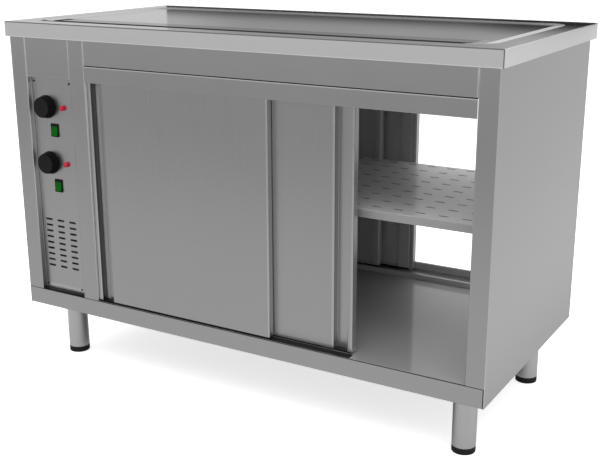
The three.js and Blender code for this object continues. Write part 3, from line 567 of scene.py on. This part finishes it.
outer_door_steel = brushed_steel("front_outer_door_steel", 0.45, 0.29, "Z", outer_door_extras)
rear_door_steel = brushed_steel("rear_door_steel", 0.45, 0.29, "Z", rear_extras)
rear_sill_steel = brushed_steel("rear_sill_steel", 0.45, 0.30, "X", rear_extras)
panel_steel = brushed_steel("panel_steel", 0.46, 0.30, "Z", panel_extras)
rear_cover_steel = brushed_steel("rear_cover_steel", 0.46, 0.30, "Z", ((vents, 0.500, 0.055),))
strip_steel = brushed_steel("strip_steel", 0.46, 0.30, "X", strip_extras)
cover_steel = brushed_steel("track_cover_steel", 0.45, 0.30, "X", ((seam, "Z", 0.7389, 1.0),))
inner_steel = brushed_steel("inner_steel", 0.74, 0.56, "X")
inner_deep = brushed_steel("inner_steel_deep", 0.60, 0.56, "Y")
track_aluminium = brushed_steel("track_aluminium", 0.58, 0.34, "X")
leg_steel = brushed_steel("leg_steel", 0.62, 0.32, "Z")

# %% [markdown]
# Small turned pieces and beads have folds too tight for the usual rounding, so theirs is a
# quarter as wide.

# %% Finishes of small pieces
TIGHT = 0.0003

shaft_steel = brushed_steel("shaft_steel", 0.50, 0.34, "Y", fold=TIGHT)
dark_screw = brushed_steel("dark_screw", 0.06, 0.45, "X", fold=TIGHT)
bead_steel = brushed_steel("bead_steel", 0.60, 0.60, "Z", fold=TIGHT)
# Lighter steel for the two welds, a painted highlight along their folds
weld_highlight_steel = brushed_steel("weld_highlight_steel", 0.52, 0.40, "Z", fold=TIGHT)

# %% [markdown]
# The shelf and the chamber's floor are satin sheet. Seen along its top, such a sheet mirrors the
# open doorway behind it, over a satin ground, so its shader has a smooth thin coat over a rough
# base. The coat is smoother on the floor, where the mirrored doorway has a clear edge. The sides
# and lips are painted darker than the top, as painted shade, and the walls and rims of the
# shelf's slots are painted in shade.

# %% Satin sheet
SLOTS_FRONT, SLOTS_BACK = 69, 501


def shelf_slot_shade(place, up):
    y = place.part("Y")
    field = y.step(y_at(SLOTS_FRONT), y_at(SLOTS_FRONT + 1))
    field = field * y.step(y_at(SLOTS_BACK), y_at(SLOTS_BACK - 1))
    # Painted shade on the walls and rims of the slots
    rim = rounding(place, 0.0035, samples=6)[1].step(0.9995, 0.985)
    return rim.most(1.0 - up) * field * 0.5


def satin_sheet(name, low, high, coat, coat_roughness, slotted=False):
    constants = {"Metallic": 0.6, "Coat Weight": coat, "Coat Roughness": coat_roughness}
    finish, shader, place = new_finish(name, constants)
    scratches = streaks(place, "X", 7.0, 900.0, 0.6)
    marks = place.noise((9.0, 9.0, 9.0), 3.0, 0.55)
    up = place.normal().part("Z").step(0.6, 0.9)
    shade = mixed(0.5, (scratches, 0.14), (marks, 0.06))
    # Painted shade: sides and lips darker than the top
    sides = shade.blend(grey(0.26), grey(0.38))
    colour = up.blend(sides, shade.blend(grey(low), grey(high)))
    gloss = mixed(0.62, (scratches, 0.08), (marks, 0.05))
    connect(shader, colour, gloss, bump_of(scratches * 0.000003))
    if slotted:
        lay_painted_shade(finish, shader, shelf_slot_shade(place, up))
    print(name, "from", low, "to", high)
    return finish


shelf_steel = satin_sheet("shelf_steel", 0.58, 0.72, 0.3, 0.12, slotted=True)
floor_steel = satin_sheet("floor_steel", 0.32, 0.41, 0.55, 0.03)

# %% [markdown]
# The worktop is one piece with three looks: a satin lip, a flat rim and plate rubbed smoother,
# and between these the gentle slope, left satin by the press. The distance from the plate's
# rounded outline parts them, worked out as for any rounded rectangle.

# %% Where the worktop's looks meet
PLATE_END, PLATE_SIDE, PLATE_ROUND = 0.515, 0.200, 0.015


def worktop_zones(place):
    x, y = place.part("X"), place.part("Y")
    past_end = (x.size() - PLATE_END).most(0.0)
    past_side = (y.size() - PLATE_SIDE).most(0.0)
    from_plate = (past_end * past_end + past_side * past_side).root() - PLATE_ROUND
    up = place.normal().part("Z").step(0.6, 0.9)
    wider = x.step(0.44, 0.50) * 0.004 - y.step(0.18, 0.22) * 0.005
    slope = (from_plate + wider).step(0.001, 0.004) * (from_plate - wider).step(0.026, 0.022)
    return from_plate, up, slope * up


print("plate corners at", PLATE_END, PLATE_SIDE, "rounded by", PLATE_ROUND)

# %% [markdown]
# Fine dark lines of painted shade lie where two folded edges meet at each mitred corner, along the
# lip's bend, where the left end of the rim turns down, and on both sides of the slope in front of
# the plate.

# %% Painted shade lines of the worktop
FRONT_SLOPE_FROM, FRONT_SLOPE_TO = -0.150, -0.153


def worktop_painted_shade(place, from_plate, up):
    x, y, z = (place.part(axis) for axis in "XYZ")
    # Painted shade lines: mitres, crease, lip bend and both sides of the front slope
    mitre = x.size().step(0.5984, 0.5988) * y.size().step(0.2974, 0.2980) * 0.85
    crease = from_plate.step(0.0245, 0.026) * from_plate.step(0.031, 0.029)
    crease = crease * up * x.step(-0.4, -0.5) * 0.35
    bend = z.step(0.8276, 0.8280) * z.step(0.8300, 0.8298) * y.size().step(0.2970, 0.2985)
    foot = from_plate.step(-0.017, -0.012) * from_plate.step(0.006, 0.002)
    brow = from_plate.step(0.0225, 0.0235) * from_plate.step(0.042, 0.036)
    channel = foot.most(brow) * y.step(FRONT_SLOPE_FROM, FRONT_SLOPE_TO)
    channel = channel * x.step(0.512, 0.498) * x.step(-0.545, -0.530)
    return mitre.most(crease).most(bend * 0.8).most(channel)


print("front slope from", FRONT_SLOPE_FROM)

# %% [markdown]
# The grain runs along the table. The end lips are painted brightest, as painted light. The slope
# has a painted highlight at its right end and painted shade at the back, and the plate has a
# painted highlight just behind the front slope, where the eye sees it through its own bend.

# %% Worktop steel
def worktop_steel():
    finish, shader, place = new_finish(
        "worktop_steel", {"Metallic": 1.0, "Specular Tint": grey(0.7)}
    )
    x, y, z = (place.part(axis) for axis in "XYZ")
    scratches = streaks(place, "X", 6.0, 900.0, 0.6)
    bands = streaks(place, "X", 1.1, 110.0, 0.5)
    marks = place.noise((7.0, 7.0, 7.0), 3.0, 0.55)
    from_plate, up, slope = worktop_zones(place)
    smooth = up * (1.0 - slope)
    rounded, agreement = rounding(place, 0.0012)
    shade = mixed(0.5, (scratches, 0.14), (bands, 0.08), (marks, 0.06))
    # Painted light: the end lips brighter than the front and back lips
    painted_light_end_lip = shade.blend(grey(0.84), grey(0.98))
    lip = place.normal().part("X").size().step(0.6, 0.9)
    lip = lip.blend(shade.blend(grey(0.57), grey(0.80)), painted_light_end_lip)
    colour = smooth.blend(lip, shade.blend(grey(0.54), grey(0.66)))
    # Painted highlight on the plate just behind the front slope
    painted_highlight_near_front = from_plate.step(-0.060, -0.020) * from_plate.step(0.0, -0.004)
    painted_highlight_near_front = painted_highlight_near_front * y.step(FRONT_SLOPE_FROM, FRONT_SLOPE_TO)
    colour = (painted_highlight_near_front * 0.8).blend(colour, grey(0.95))
    # Painted highlight on the slope's right end, painted shade on its back
    colour = (slope * x.step(0.50, 0.52) * 0.55).blend(colour, grey(0.98))
    colour = (slope * y.step(0.18, 0.22) * 0.6).blend(colour, grey(0.25))
    # Painted highlight along every fold and along the lip's lower edge, with some edge wear
    wear_and_highlight = (agreement.step(0.995, 0.9) * 0.35).most(z.step(0.7980, 0.7970))
    gloss = mixed(0.47, (scratches, 0.05), (marks, 0.04)) - smooth * 0.34
    bump = bump_of(scratches * 0.000003 + bands * 0.000002, rounded)
    connect(shader, wear_and_highlight.blend(colour, grey(0.92)), gloss, bump)
    lay_painted_shade(finish, shader, worktop_painted_shade(place, from_plate, up))
    print("worktop steel ready")
    return finish


worktop_finish = worktop_steel()

# %% [markdown]
# Knobs, bezels, feet and the cable gland are moulded in black plastic. A mould leaves a very fine
# even texture, and hands polish the parts that they touch. Fine noise gives the texture, slow
# noise the change in gloss. A knob's front face may be painted a lighter grey than its sides, as
# painted light.

# %% Moulded plastics
def moulded(name, colour, roughness, texture=0.00001, coat=0.0, shine=0.5, face=0.0):
    constants = {"Metallic": 0.0, "Coat Weight": coat, "Specular IOR Level": shine}
    finish, shader, place = new_finish(name, constants)
    grain = place.noise((1400.0, 1400.0, 1400.0), 2.0, 0.6)
    slow = place.noise((60.0, 60.0, 60.0), 2.0, 0.5)
    pale = tuple(min(c * 1.5 + 0.004, 1.0) for c in colour)
    tint = mixed(0.3, (slow, 0.7), (grain, 0.3)).blend(colour + (1.0,), pale + (1.0,))
    # Painted light: the knob's front face is painted a lighter grey than its sides
    if face:
        tint = place.normal().part("Y").step(-0.90, -0.99).blend(tint, grey(face))
    gloss = mixed(roughness, (slow, 0.16), (grain, 0.08))
    connect(shader, tint, gloss, bump_of(grain * texture))
    print(name, "roughness", roughness)
    return finish


black_plastic = moulded("black_plastic", (0.006, 0.006, 0.007), 0.46, shine=0.08)
knob_plastic = moulded("knob_plastic", (0.0025, 0.0025, 0.003), 0.42, shine=0.03, face=0.012)
foot_plastic = moulded("foot_plastic", (0.008, 0.008, 0.008), 0.55, shine=0.2)
nylon = moulded("nylon", (0.66, 0.65, 0.61), 0.5)
red_lens = moulded("red_lens", (0.36, 0.002, 0.02), 0.18, 0.000002, 0.12, 0.3)
green_rocker = moulded("green_rocker", (0.0, 0.068, 0.001), 0.36, 0.000002, shine=0.06)

# %% [markdown]
# The heater rods have a drawn steel sheath that heat has dulled to a straw and grey bloom. The
# bloom is slow noise between two tints, rough where it is darkest.

# %% Heat-dulled sheath
def heat_dulled():
    finish, shader, place = new_finish("heater_sheath", {"Metallic": 1.0})
    bloom = place.noise((14.0, 14.0, 14.0), 3.0, 0.6)
    speck = place.noise((600.0, 600.0, 600.0), 2.0, 0.5)
    colour = bloom.step(0.35, 0.65).blend((0.20, 0.19, 0.18, 1.0), (0.36, 0.30, 0.23, 1.0))
    gloss = mixed(0.48, (bloom, 0.2), (speck, 0.1))
    connect(shader, colour, gloss, bump_of(speck * 0.00001))
    print("heater sheath ready")
    return finish


heater_sheath = heat_dulled()

# %% [markdown]
# Every carried-over node gets the finish of what it is. Strips that run along the table are
# brushed lengthways, and pillars, doors and the control panel upright, as their sheets were cut.
# Inner sheets that nobody polishes have a mill finish.

# %% Finishes of the single nodes
finish_of = {
    "worktop": worktop_finish,
    "front_track_cover": cover_steel,
    "base_front_strip": strip_steel,
    "rear_sill": rear_sill_steel,
    "rear_service_cover": rear_cover_steel,
    "control_panel": panel_steel,
    "floor_panel": floor_steel,
    "perforated_shelf": shelf_steel,
    "cable_gland": black_plastic,
}
alike = (
    (body_upright, ("left_side_panel", "right_side_panel", "chamber_partition")),
    (body_lengthways, ("control_header", "front_fascia", "rear_fascia")),
    (inner_steel, ("right_liner", "ceiling_tray", "heater_tray")),
    (inner_deep, ("left_leg_rail", "right_leg_rail", "left_shelf_rail", "right_shelf_rail")),
    (track_aluminium, ("front_track", "rear_track")),
    (heater_sheath, ("top_heater", "chamber_heater")),
)
for finish, names in alike:
    finish_of.update((name, finish) for name in names)
print("finishes for", len(finish_of), "single nodes")

# %% [markdown]
# Doors, legs and controls come in sets, so their names are put together from the set's place and
# the piece. The front doors differ a little, because only the outer one shows its channel in
# full. Last of all, each node's own material gives way to its finish.

# %% Finishes of the sets
door_steels = {
    "front_outer_door": outer_door_steel,
    "front_inner_door": front_door_steel,
    "rear_inner_door": rear_door_steel,
    "rear_outer_door": rear_door_steel,
}
leg_set = {"leg": leg_steel, "foot": foot_plastic}
control_set = {
    "knob": knob_plastic,
    "knob_shaft": shaft_steel,
    "thermostat": black_plastic,
    "pilot_lamp": red_lens,
    "switch_housing": black_plastic,
    "switch_rocker": green_rocker,
}
for door, steel in door_steels.items():
    finish_of.update({door: steel, door + "_runner": nylon, door + "_glide": black_plastic})
for corner in ("front_left", "front_right", "rear_left", "rear_right"):
    finish_of.update((corner + "_" + piece, finish) for piece, finish in leg_set.items())
for line in ("upper", "lower"):
    finish_of.update((line + "_" + piece, finish) for piece, finish in control_set.items())
for name, node in nodes.items():
    node.data.materials.clear()
    node.data.materials.append(finish_of[name])
print("finishes on", len(finish_of), "nodes")

# %% [markdown]
# Turned pieces are half a section, given as radius and height, and swept once round an axis.
# Their ends on the axis close to a point, so doubles are merged and the normals made to face
# outwards. A dissolve takes away what the sweep leaves without area on the axis.

# %% Helpers for turned pieces
OUT = Vector((0, -1, 0))
UP = Vector((0, 0, 1))
ALONG = Vector((1, 0, 0))
MERGE = 1e-6


def add_turned(shape, profile, centre, axis, side, steps):
    points = [
        shape.verts.new(centre + (side * radius + axis * along) * MM) for radius, along in profile
    ]
    lines = [shape.edges.new(pair) for pair in zip(points, points[1:])]
    bmesh.ops.spin(
        shape,
        geom=points + lines,
        cent=centre,
        axis=axis,
        angle=2 * math.pi,
        steps=steps,
        use_merge=True,
    )


def turned(profile, centre, axis, side, steps=64):
    shape = bmesh.new()
    add_turned(shape, profile, centre, axis, side, steps)
    bmesh.ops.remove_doubles(shape, verts=shape.verts, dist=MERGE)
    bmesh.ops.dissolve_degenerate(shape, edges=shape.edges, dist=MERGE / 10)
    bmesh.ops.recalc_face_normals(shape, faces=shape.faces)
    return shape


print("front faces look", OUT)

# %% [markdown]
# Blocks are cubes scaled to size, with their edges eased by a bevel. The bevel takes its edges in
# the mesh's own order, so each run gives the same mesh. Any piece is finished in the same way: an
# edge stays sharp where two faces meet at more than a set angle, in degrees, and the rest is
# shaded smooth. The piece then rides its body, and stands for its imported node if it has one.

# %% Helpers for blocks and finished pieces
def ease(shape, edges, offset, segments=2):
    chosen = set(edges)
    in_order = [edge for edge in shape.edges if edge in chosen]
    bmesh.ops.bevel(
        shape, geom=in_order, offset=offset * MM, segments=segments, profile=0.5,
        affect="EDGES", material=-1,
    )


def add_block(shape, centre, size, bevel=0.0):
    made = bmesh.ops.create_cube(shape, size=1.0)["verts"]
    bmesh.ops.scale(shape, verts=made, vec=Vector(size) * MM)
    bmesh.ops.translate(shape, verts=made, vec=centre)
    if bevel:
        ease(shape, {edge for vert in made for edge in vert.link_edges}, bevel)
    return made


def finished(name, shape, finish, body, stands_for=None, sharp=35):
    for face in shape.faces:
        face.smooth = True
    for edge in shape.edges:
        edge.smooth = len(edge.link_faces) == 2 and edge.calc_face_angle() < math.radians(sharp)
    mesh = bpy.data.meshes.new(name)
    shape.to_mesh(mesh)
    shape.free()
    mesh.materials.append(finish)
    piece = bpy.data.objects.new(name, mesh)
    bpy.context.scene.collection.objects.link(piece)
    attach(piece, body)
    if stands_for:
        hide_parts(stands_for)
    print(name, len(mesh.polygons), "faces")


# %% [markdown]
# A leg is a round tube welded to a square plate, which bolts to the rail above it. The weld shows
# as a small bead round the tube, and the tube's lower rim is eased so that it doesn't cut.

# %% Legs
LEG_SIDE, LEG_END = 69.2, 86.9
BOLT_OFFSET = 29
ROUND_STEPS = 72
TUBE_PROFILE = [
    (23.0, 14.0), (24.5, 14.0), (25.0, 14.5), (25.0, 141.5),
    (25.5, 142.6), (27.2, 144.6), (28.4, 146.0), (23.0, 146.0), (23.0, 14.0),
]
BOLT_PROFILE = [(0.0, 141.8), (4.6, 141.8), (5.6, 142.4), (5.6, 146.0), (0.0, 146.0)]
leg_places = {
    "front_left": (LEG_SIDE, LEG_END),
    "front_right": (BODY_LENGTH - LEG_SIDE, LEG_END),
    "rear_left": (LEG_SIDE, BODY_DEPTH - LEG_END),
    "rear_right": (BODY_LENGTH - LEG_SIDE, BODY_DEPTH - LEG_END),
}

for corner, (u, d) in leg_places.items():
    tube = turned(TUBE_PROFILE, at(u, d, 0), UP, ALONG, ROUND_STEPS)
    add_block(tube, at(u, d, 147.5), (76, 76, 3), 0.6)
    for side_u in (-BOLT_OFFSET, BOLT_OFFSET):
        for side_d in (-BOLT_OFFSET, BOLT_OFFSET):
            add_turned(tube, BOLT_PROFILE, at(u + side_u, d + side_d, 0), UP, ALONG, 6)
    bmesh.ops.remove_doubles(tube, verts=tube.verts, dist=MERGE)
    bmesh.ops.recalc_face_normals(tube, faces=tube.faces)
    finished(corner + "_leg_tube", tube, leg_steel, "cabinet", corner + "_leg")

# %% [markdown]
# Thin strips close the joints of the sheets. A buffer on the post meets the end of the closed
# door, and a bead seals the control panel's left edge. Two welds fill the folds beside the
# control header and at the right end of the front fascia, in a lighter steel that paints a
# highlight along those folds. Two black strips are painted shadow: one at the control panel's
# foot, where its recess lies in shade, and one on the floor under the outer front door. Each
# door's narrow end pocket is closed inside by a return strip that slides with its door. A strip
# is one small block with eased edges. Each row gives the middle, the size, the finish, the body
# that it rides and its slot.

# %% Buffers, beads and returns
STRIP_EDGE = 0.25
DOOR_MIDDLE = 461.6
RETURN_SIZE = (9.8, 1.2, 538)

of_steel = ("cabinet", "body_steel")
of_plastic = ("cabinet", "black_plastic")
strips = {
    "post_buffer": ((222.45, 4.5, DOOR_MIDDLE), (0.9, 1.2, 541), leg_steel, *of_steel),
    "panel_bead": ((46.5, 12.7, 446.9), (1.5, 1.4, 516), bead_steel, *of_steel),
    # Weld in lighter steel: a painted highlight along the header's fold
    "header_weld_highlight": ((178.3, 0.6, 750.0), (2.0, 1.4, 89.0), weld_highlight_steel, *of_steel),
    # A black strip that stands for the shadow in front of the doors: a painted shadow
    "lane_shadow_strip": ((558.0, 12.4, 186.35), (670.0, 18.0, 0.9), black_plastic, *of_plastic),
    # A black strip that stands for the shade in the panel's foot recess: a painted shadow
    "panel_foot_shadow_strip": ((112.0, 7.6, 187.2), (131.0, 10.8, 2.4), black_plastic, *of_plastic),
    # Weld in lighter steel: a painted highlight along the fascia's fold
    "fascia_weld_highlight": ((1146.7, 0.6, 768.6), (2.2, 1.4, 54.4), weld_highlight_steel, *of_steel),
}
return_places = {
    "front_outer_door": (229.1, 20.0),
    "front_inner_door": (884.0, 38.5),
    "rear_inner_door": (229.1, 526.3),
    "rear_outer_door": (782.0, 544.8),
}
for door, (u, d) in return_places.items():
    of_door = (door_steels[door], door + "_body", "door_steel")
    strips[door + "_return"] = ((u, d, DOOR_MIDDLE), RETURN_SIZE, *of_door)
for name, (place, size, steel, body, slot) in strips.items():
    strip = bmesh.new()
    add_block(strip, at(*place), size, STRIP_EDGE)
    bmesh.ops.recalc_face_normals(strip, faces=strip.faces)
    finished(name, strip, steel, body)

# %% [markdown]
# A levelling foot screws up into its leg. It is a black moulded collar, as wide as the tube. Two
# grooves round the collar give fingers a hold when the foot is turned.

# %% Levelling feet
FOOT_PROFILE = [
    (0.0, 0.4), (21.0, 0.4), (21.6, 0.0), (23.6, 0.0), (24.6, 0.5), (25.0, 1.4), (25.0, 3.4),
    (24.6, 3.7), (24.6, 4.4), (25.0, 4.7), (25.0, 7.8), (24.6, 8.1), (24.6, 8.8), (25.0, 9.1),
    (25.0, 12.9), (24.6, 13.6), (23.6, 13.7), (22.6, 13.7), (22.6, 52.0), (21.6, 53.0),
    (0.0, 53.0),
]

for corner, (u, d) in leg_places.items():
    foot = turned(FOOT_PROFILE, at(u, d, 0), UP, ALONG, ROUND_STEPS)
    finished(
        corner + "_foot_collar", foot, foot_plastic, corner + "_foot_body",
        stands_for=corner + "_foot",
    )

# %% [markdown]
# A thermostat knob is a tapered round grip on a thin skirt. The grip's front has a soft rim and
# a shallow dish, and a short raised bar marks where the knob points.

# %% Knobs
LINE_HEIGHTS = {"upper": 637.0, "lower": 504.52}
PANEL_FACE = 12.7
KNOB_MIDDLE = 88.4
KNOB_PROFILE = [
    (0.0, 12.0), (3.3, 12.0), (3.3, 0.0), (26.4, 0.0), (27.0, 0.5), (27.0, 2.0), (26.7, 2.6),
    (26.0, 2.9), (25.9, 3.4), (25.5, 6.0), (24.0, 15.5), (23.4, 17.6), (22.4, 18.9),
    (21.0, 19.3), (19.6, 19.3), (18.6, 19.0), (0.0, 18.6),
]

for line, z in LINE_HEIGHTS.items():
    centre = at(KNOB_MIDDLE, PANEL_FACE, z)
    knob = turned(KNOB_PROFILE, centre, OUT, ALONG, 80)
    add_block(knob, centre + (OUT * 18.6 + UP * 12.0) * MM, (2.2, 1.2, 10.0), 0.4)
    finished(
        line + "_knob_grip", knob, knob_plastic, line + "_knob_body",
        stands_for=line + "_knob",
    )

# %% [markdown]
# A pilot lamp is a red lens with a domed head on a stem that clips into the panel.

# %% Pilot lamps
LAMP_MIDDLE, LAMP_RAISED = 139.0, 0.6
DOME_RADIUS, DOME_RISE, DOME_STEPS = 6.2, 4.4, 10

dome = [
    (DOME_RADIUS * math.cos(angle), DOME_RISE + DOME_RISE * math.sin(angle))
    for angle in (k * math.pi / 2 / DOME_STEPS for k in range(DOME_STEPS))
]
stem = [(0.0, -19.0), (4.7, -19.0), (4.7, 0.0), (DOME_RADIUS, 0.0), (DOME_RADIUS, 1.2)]
for line, z in LINE_HEIGHTS.items():
    centre = at(LAMP_MIDDLE, PANEL_FACE, z + LAMP_RAISED)
    lamp = turned(stem + dome + [(0.0, 2 * DOME_RISE)], centre, OUT, ALONG, 48)
    finished(line + "_lamp_lens", lamp, red_lens, "cabinet", line + "_pilot_lamp")

# %% [markdown]
# Each switch has a bezel with rounded corners round a well. Its body is a block behind the panel.
# Its frame is a flat block, bevelled at its corners and round its front face, which is then inset
# and pushed in to make the well.

# %% Switch bezels
SWITCH_HEIGHTS = {"upper": 583.5, "lower": 451.02}
SWITCH_MIDDLE = 110.0
BEZEL_RIM = 1.1
WELL_DEPTH = 8.0


def foremost(shape):
    return min(shape.faces, key=lambda face: face.calc_center_median().y)


def sunk_bezel(z):
    shape = bmesh.new()
    add_block(shape, at(SWITCH_MIDDLE, 22.2, z), (20.0, 23.4, 28.6))
    made = add_block(shape, at(SWITCH_MIDDLE, 11.6, z), (22.6, 2.2, 31.0))
    uprights = {
        edge for vert in made for edge in vert.link_edges
        if abs((edge.verts[0].co - edge.verts[1].co).y) > 0.001
    }
    ease(shape, uprights, 1.5, 5)
    ease(shape, foremost(shape).edges, 0.6, 3)
    front = foremost(shape)
    bmesh.ops.inset_region(shape, faces=[front], thickness=BEZEL_RIM * MM)
    well = bmesh.ops.extrude_discrete_faces(shape, faces=[front])["faces"][0]
    bmesh.ops.translate(shape, verts=well.verts, vec=-OUT * WELL_DEPTH * MM)
    return shape


# %% [markdown]
# A rocker is hollowed for the finger and stands out at its lower end. It is its side outline,
# given as depth and height, filled, drawn across and eased round both ends. Bezel and rocker are
# then fitted switch by switch.

# %% Switch rockers
ROCKER_WIDTH = 18.0
ROCKER_OUTLINE = [
    (12.2, 13.0), (11.7, 12.7), (10.4, 8.4), (10.3, 6.0), (10.1, 1.0), (9.5, -2.5),
    (8.5, -6.0), (7.2, -9.8), (6.6, -11.4), (6.9, -12.1), (7.6, -12.4), (14.4, -12.8),
    (17.8, 12.0),
]


def hollowed_paddle(z):
    left_end = SWITCH_MIDDLE - ROCKER_WIDTH / 2
    paddle = bmesh.new()
    ring = [paddle.verts.new(at(left_end, d, z + up)) for d, up in ROCKER_OUTLINE]
    side_face = paddle.faces.new(ring)
    drawn = bmesh.ops.extrude_face_region(paddle, geom=[side_face])["geom"]
    across = [item for item in drawn if isinstance(item, bmesh.types.BMVert)]
    bmesh.ops.translate(paddle, verts=across, vec=ALONG * ROCKER_WIDTH * MM)
    bmesh.ops.recalc_face_normals(paddle, faces=paddle.faces)
    ends = [face for face in paddle.faces if abs(face.normal.x) > 0.9]
    ease(paddle, {edge for face in ends for edge in face.edges}, 0.45, 3)
    return paddle


for line, z in SWITCH_HEIGHTS.items():
    finished(
        line + "_switch_bezel", sunk_bezel(z), black_plastic, "cabinet",
        stands_for=line + "_switch_housing", sharp=50,
    )
    finished(
        line + "_rocker_paddle", hollowed_paddle(z), green_rocker, line + "_rocker_body",
        stands_for=line + "_switch_rocker", sharp=40,
    )

# %% [markdown]
# Small screws hold the control panel and the rear cover. Each has a low domed head with a round
# recess for the driver.

# %% Cover screws
SCREW_PROFILE = [
    (0.0, 0.5), (1.0, 0.5), (1.1, 1.5), (1.3, 1.7), (1.9, 1.5), (2.4, 1.0), (2.6, 0.4),
    (2.6, 0.0), (0.0, 0.0),
]
screw_places = {
    "panel_screw_1": (54.0, 13.0, 695.5, OUT),
    "panel_screw_2": (162.5, 13.0, 694.5, OUT),
    "panel_screw_3": (51.4, 13.0, 198.5, OUT),
    "panel_screw_4": (160.3, 13.0, 198.5, OUT),
}
cover_rows = [(u, z) for z in (232, 520, 786) for u in (56, 168)]
for number, (u, z) in enumerate(cover_rows, start=1):
    screw_places["cover_screw_%d" % number] = (u, BODY_DEPTH, z, -OUT)
for name, (u, d, z, facing) in screw_places.items():
    screw = turned(SCREW_PROFILE, at(u, d, z), facing, ALONG, 32)
    finish = dark_screw if name.startswith("panel") else shaft_steel
    finished(name, screw, finish, "cabinet")

# %% [markdown]
# The gland on the rear cover is a threaded tail, a hexagon nut and a cap with twelve flats. All
# three are rings round the same open bore, so each profile is a closed loop off the axis.

# %% Cable gland
GLAND_GAP = 0.3
gland_place = at(VENTS_MIDDLE, BODY_DEPTH + GLAND_GAP, 246)
gland = bmesh.new()
tail = [
    (5.0, -9.0), (9.2, -9.0), (9.7, -8.5), (9.7, 11.8), (9.0, 14.6), (7.4, 15.8), (6.0, 16.0),
    (5.0, 15.4), (5.0, -9.0),
]
nut = [(9.0, 0.0), (13.2, 0.0), (14.0, 0.8), (14.0, 5.2), (13.2, 6.0), (9.0, 6.0), (9.0, 0.0)]
cap = [(9.0, 6.0), (10.5, 6.0), (11.0, 6.6), (11.0, 12.0), (10.2, 13.4), (9.0, 13.8), (9.0, 6.0)]
add_turned(gland, tail, gland_place, -OUT, ALONG, 64)
add_turned(gland, nut, gland_place, -OUT, ALONG, 6)
add_turned(gland, cap, gland_place, -OUT, ALONG, 12)
bmesh.ops.remove_doubles(gland, verts=gland.verts, dist=MERGE)
bmesh.ops.recalc_face_normals(gland, faces=gland.faces)
finished("cable_gland_rings", gland, black_plastic, "cabinet", "cable_gland", 20)

# %% [markdown]
# The chamber's heater is one long rod bent back on itself. A circle is drawn out along the first
# run, spun half a turn round the middle of the bend and drawn back along the second run.

# %% Chamber heater
ROD_START, ROD_TURN = 196.5, 642.0
ROD_FRONT, ROD_BACK, ROD_HEIGHT = 240, 320, 201
ROD_RADIUS = 3.9

rod = bmesh.new()
first = bmesh.ops.create_circle(rod, cap_ends=True, radius=ROD_RADIUS * MM, segments=24)["verts"]
bmesh.ops.rotate(rod, verts=first, matrix=Matrix.Rotation(math.pi / 2, 3, "Y"))
bmesh.ops.translate(rod, verts=first, vec=at(ROD_START, ROD_FRONT, ROD_HEIGHT))
start_face = rod.faces[:][0]
bend_middle = at(ROD_TURN, (ROD_FRONT + ROD_BACK) / 2, ROD_HEIGHT)


def drawn_on(face, step):
    made = bmesh.ops.extrude_face_region(rod, geom=[face])["geom"]
    ahead_face = next(item for item in made if isinstance(item, bmesh.types.BMFace))
    bmesh.ops.translate(rod, verts=ahead_face.verts, vec=step)
    return ahead_face


run = Vector((ROD_TURN - ROD_START, 0, 0)) * MM
front_end = drawn_on(start_face, run)
bend = bmesh.ops.spin(
    rod, geom=[front_end], cent=bend_middle, axis=UP, angle=math.pi, steps=24
)["geom_last"]
bend_end = next(item for item in bend if isinstance(item, bmesh.types.BMFace))
drawn_on(bend_end, -run)
bmesh.ops.remove_doubles(rod, verts=rod.verts, dist=MERGE)
bmesh.ops.recalc_face_normals(rod, faces=rod.faces)
finished("chamber_heater_rod", rod, heater_sheath, "cabinet", "chamber_heater", 50)
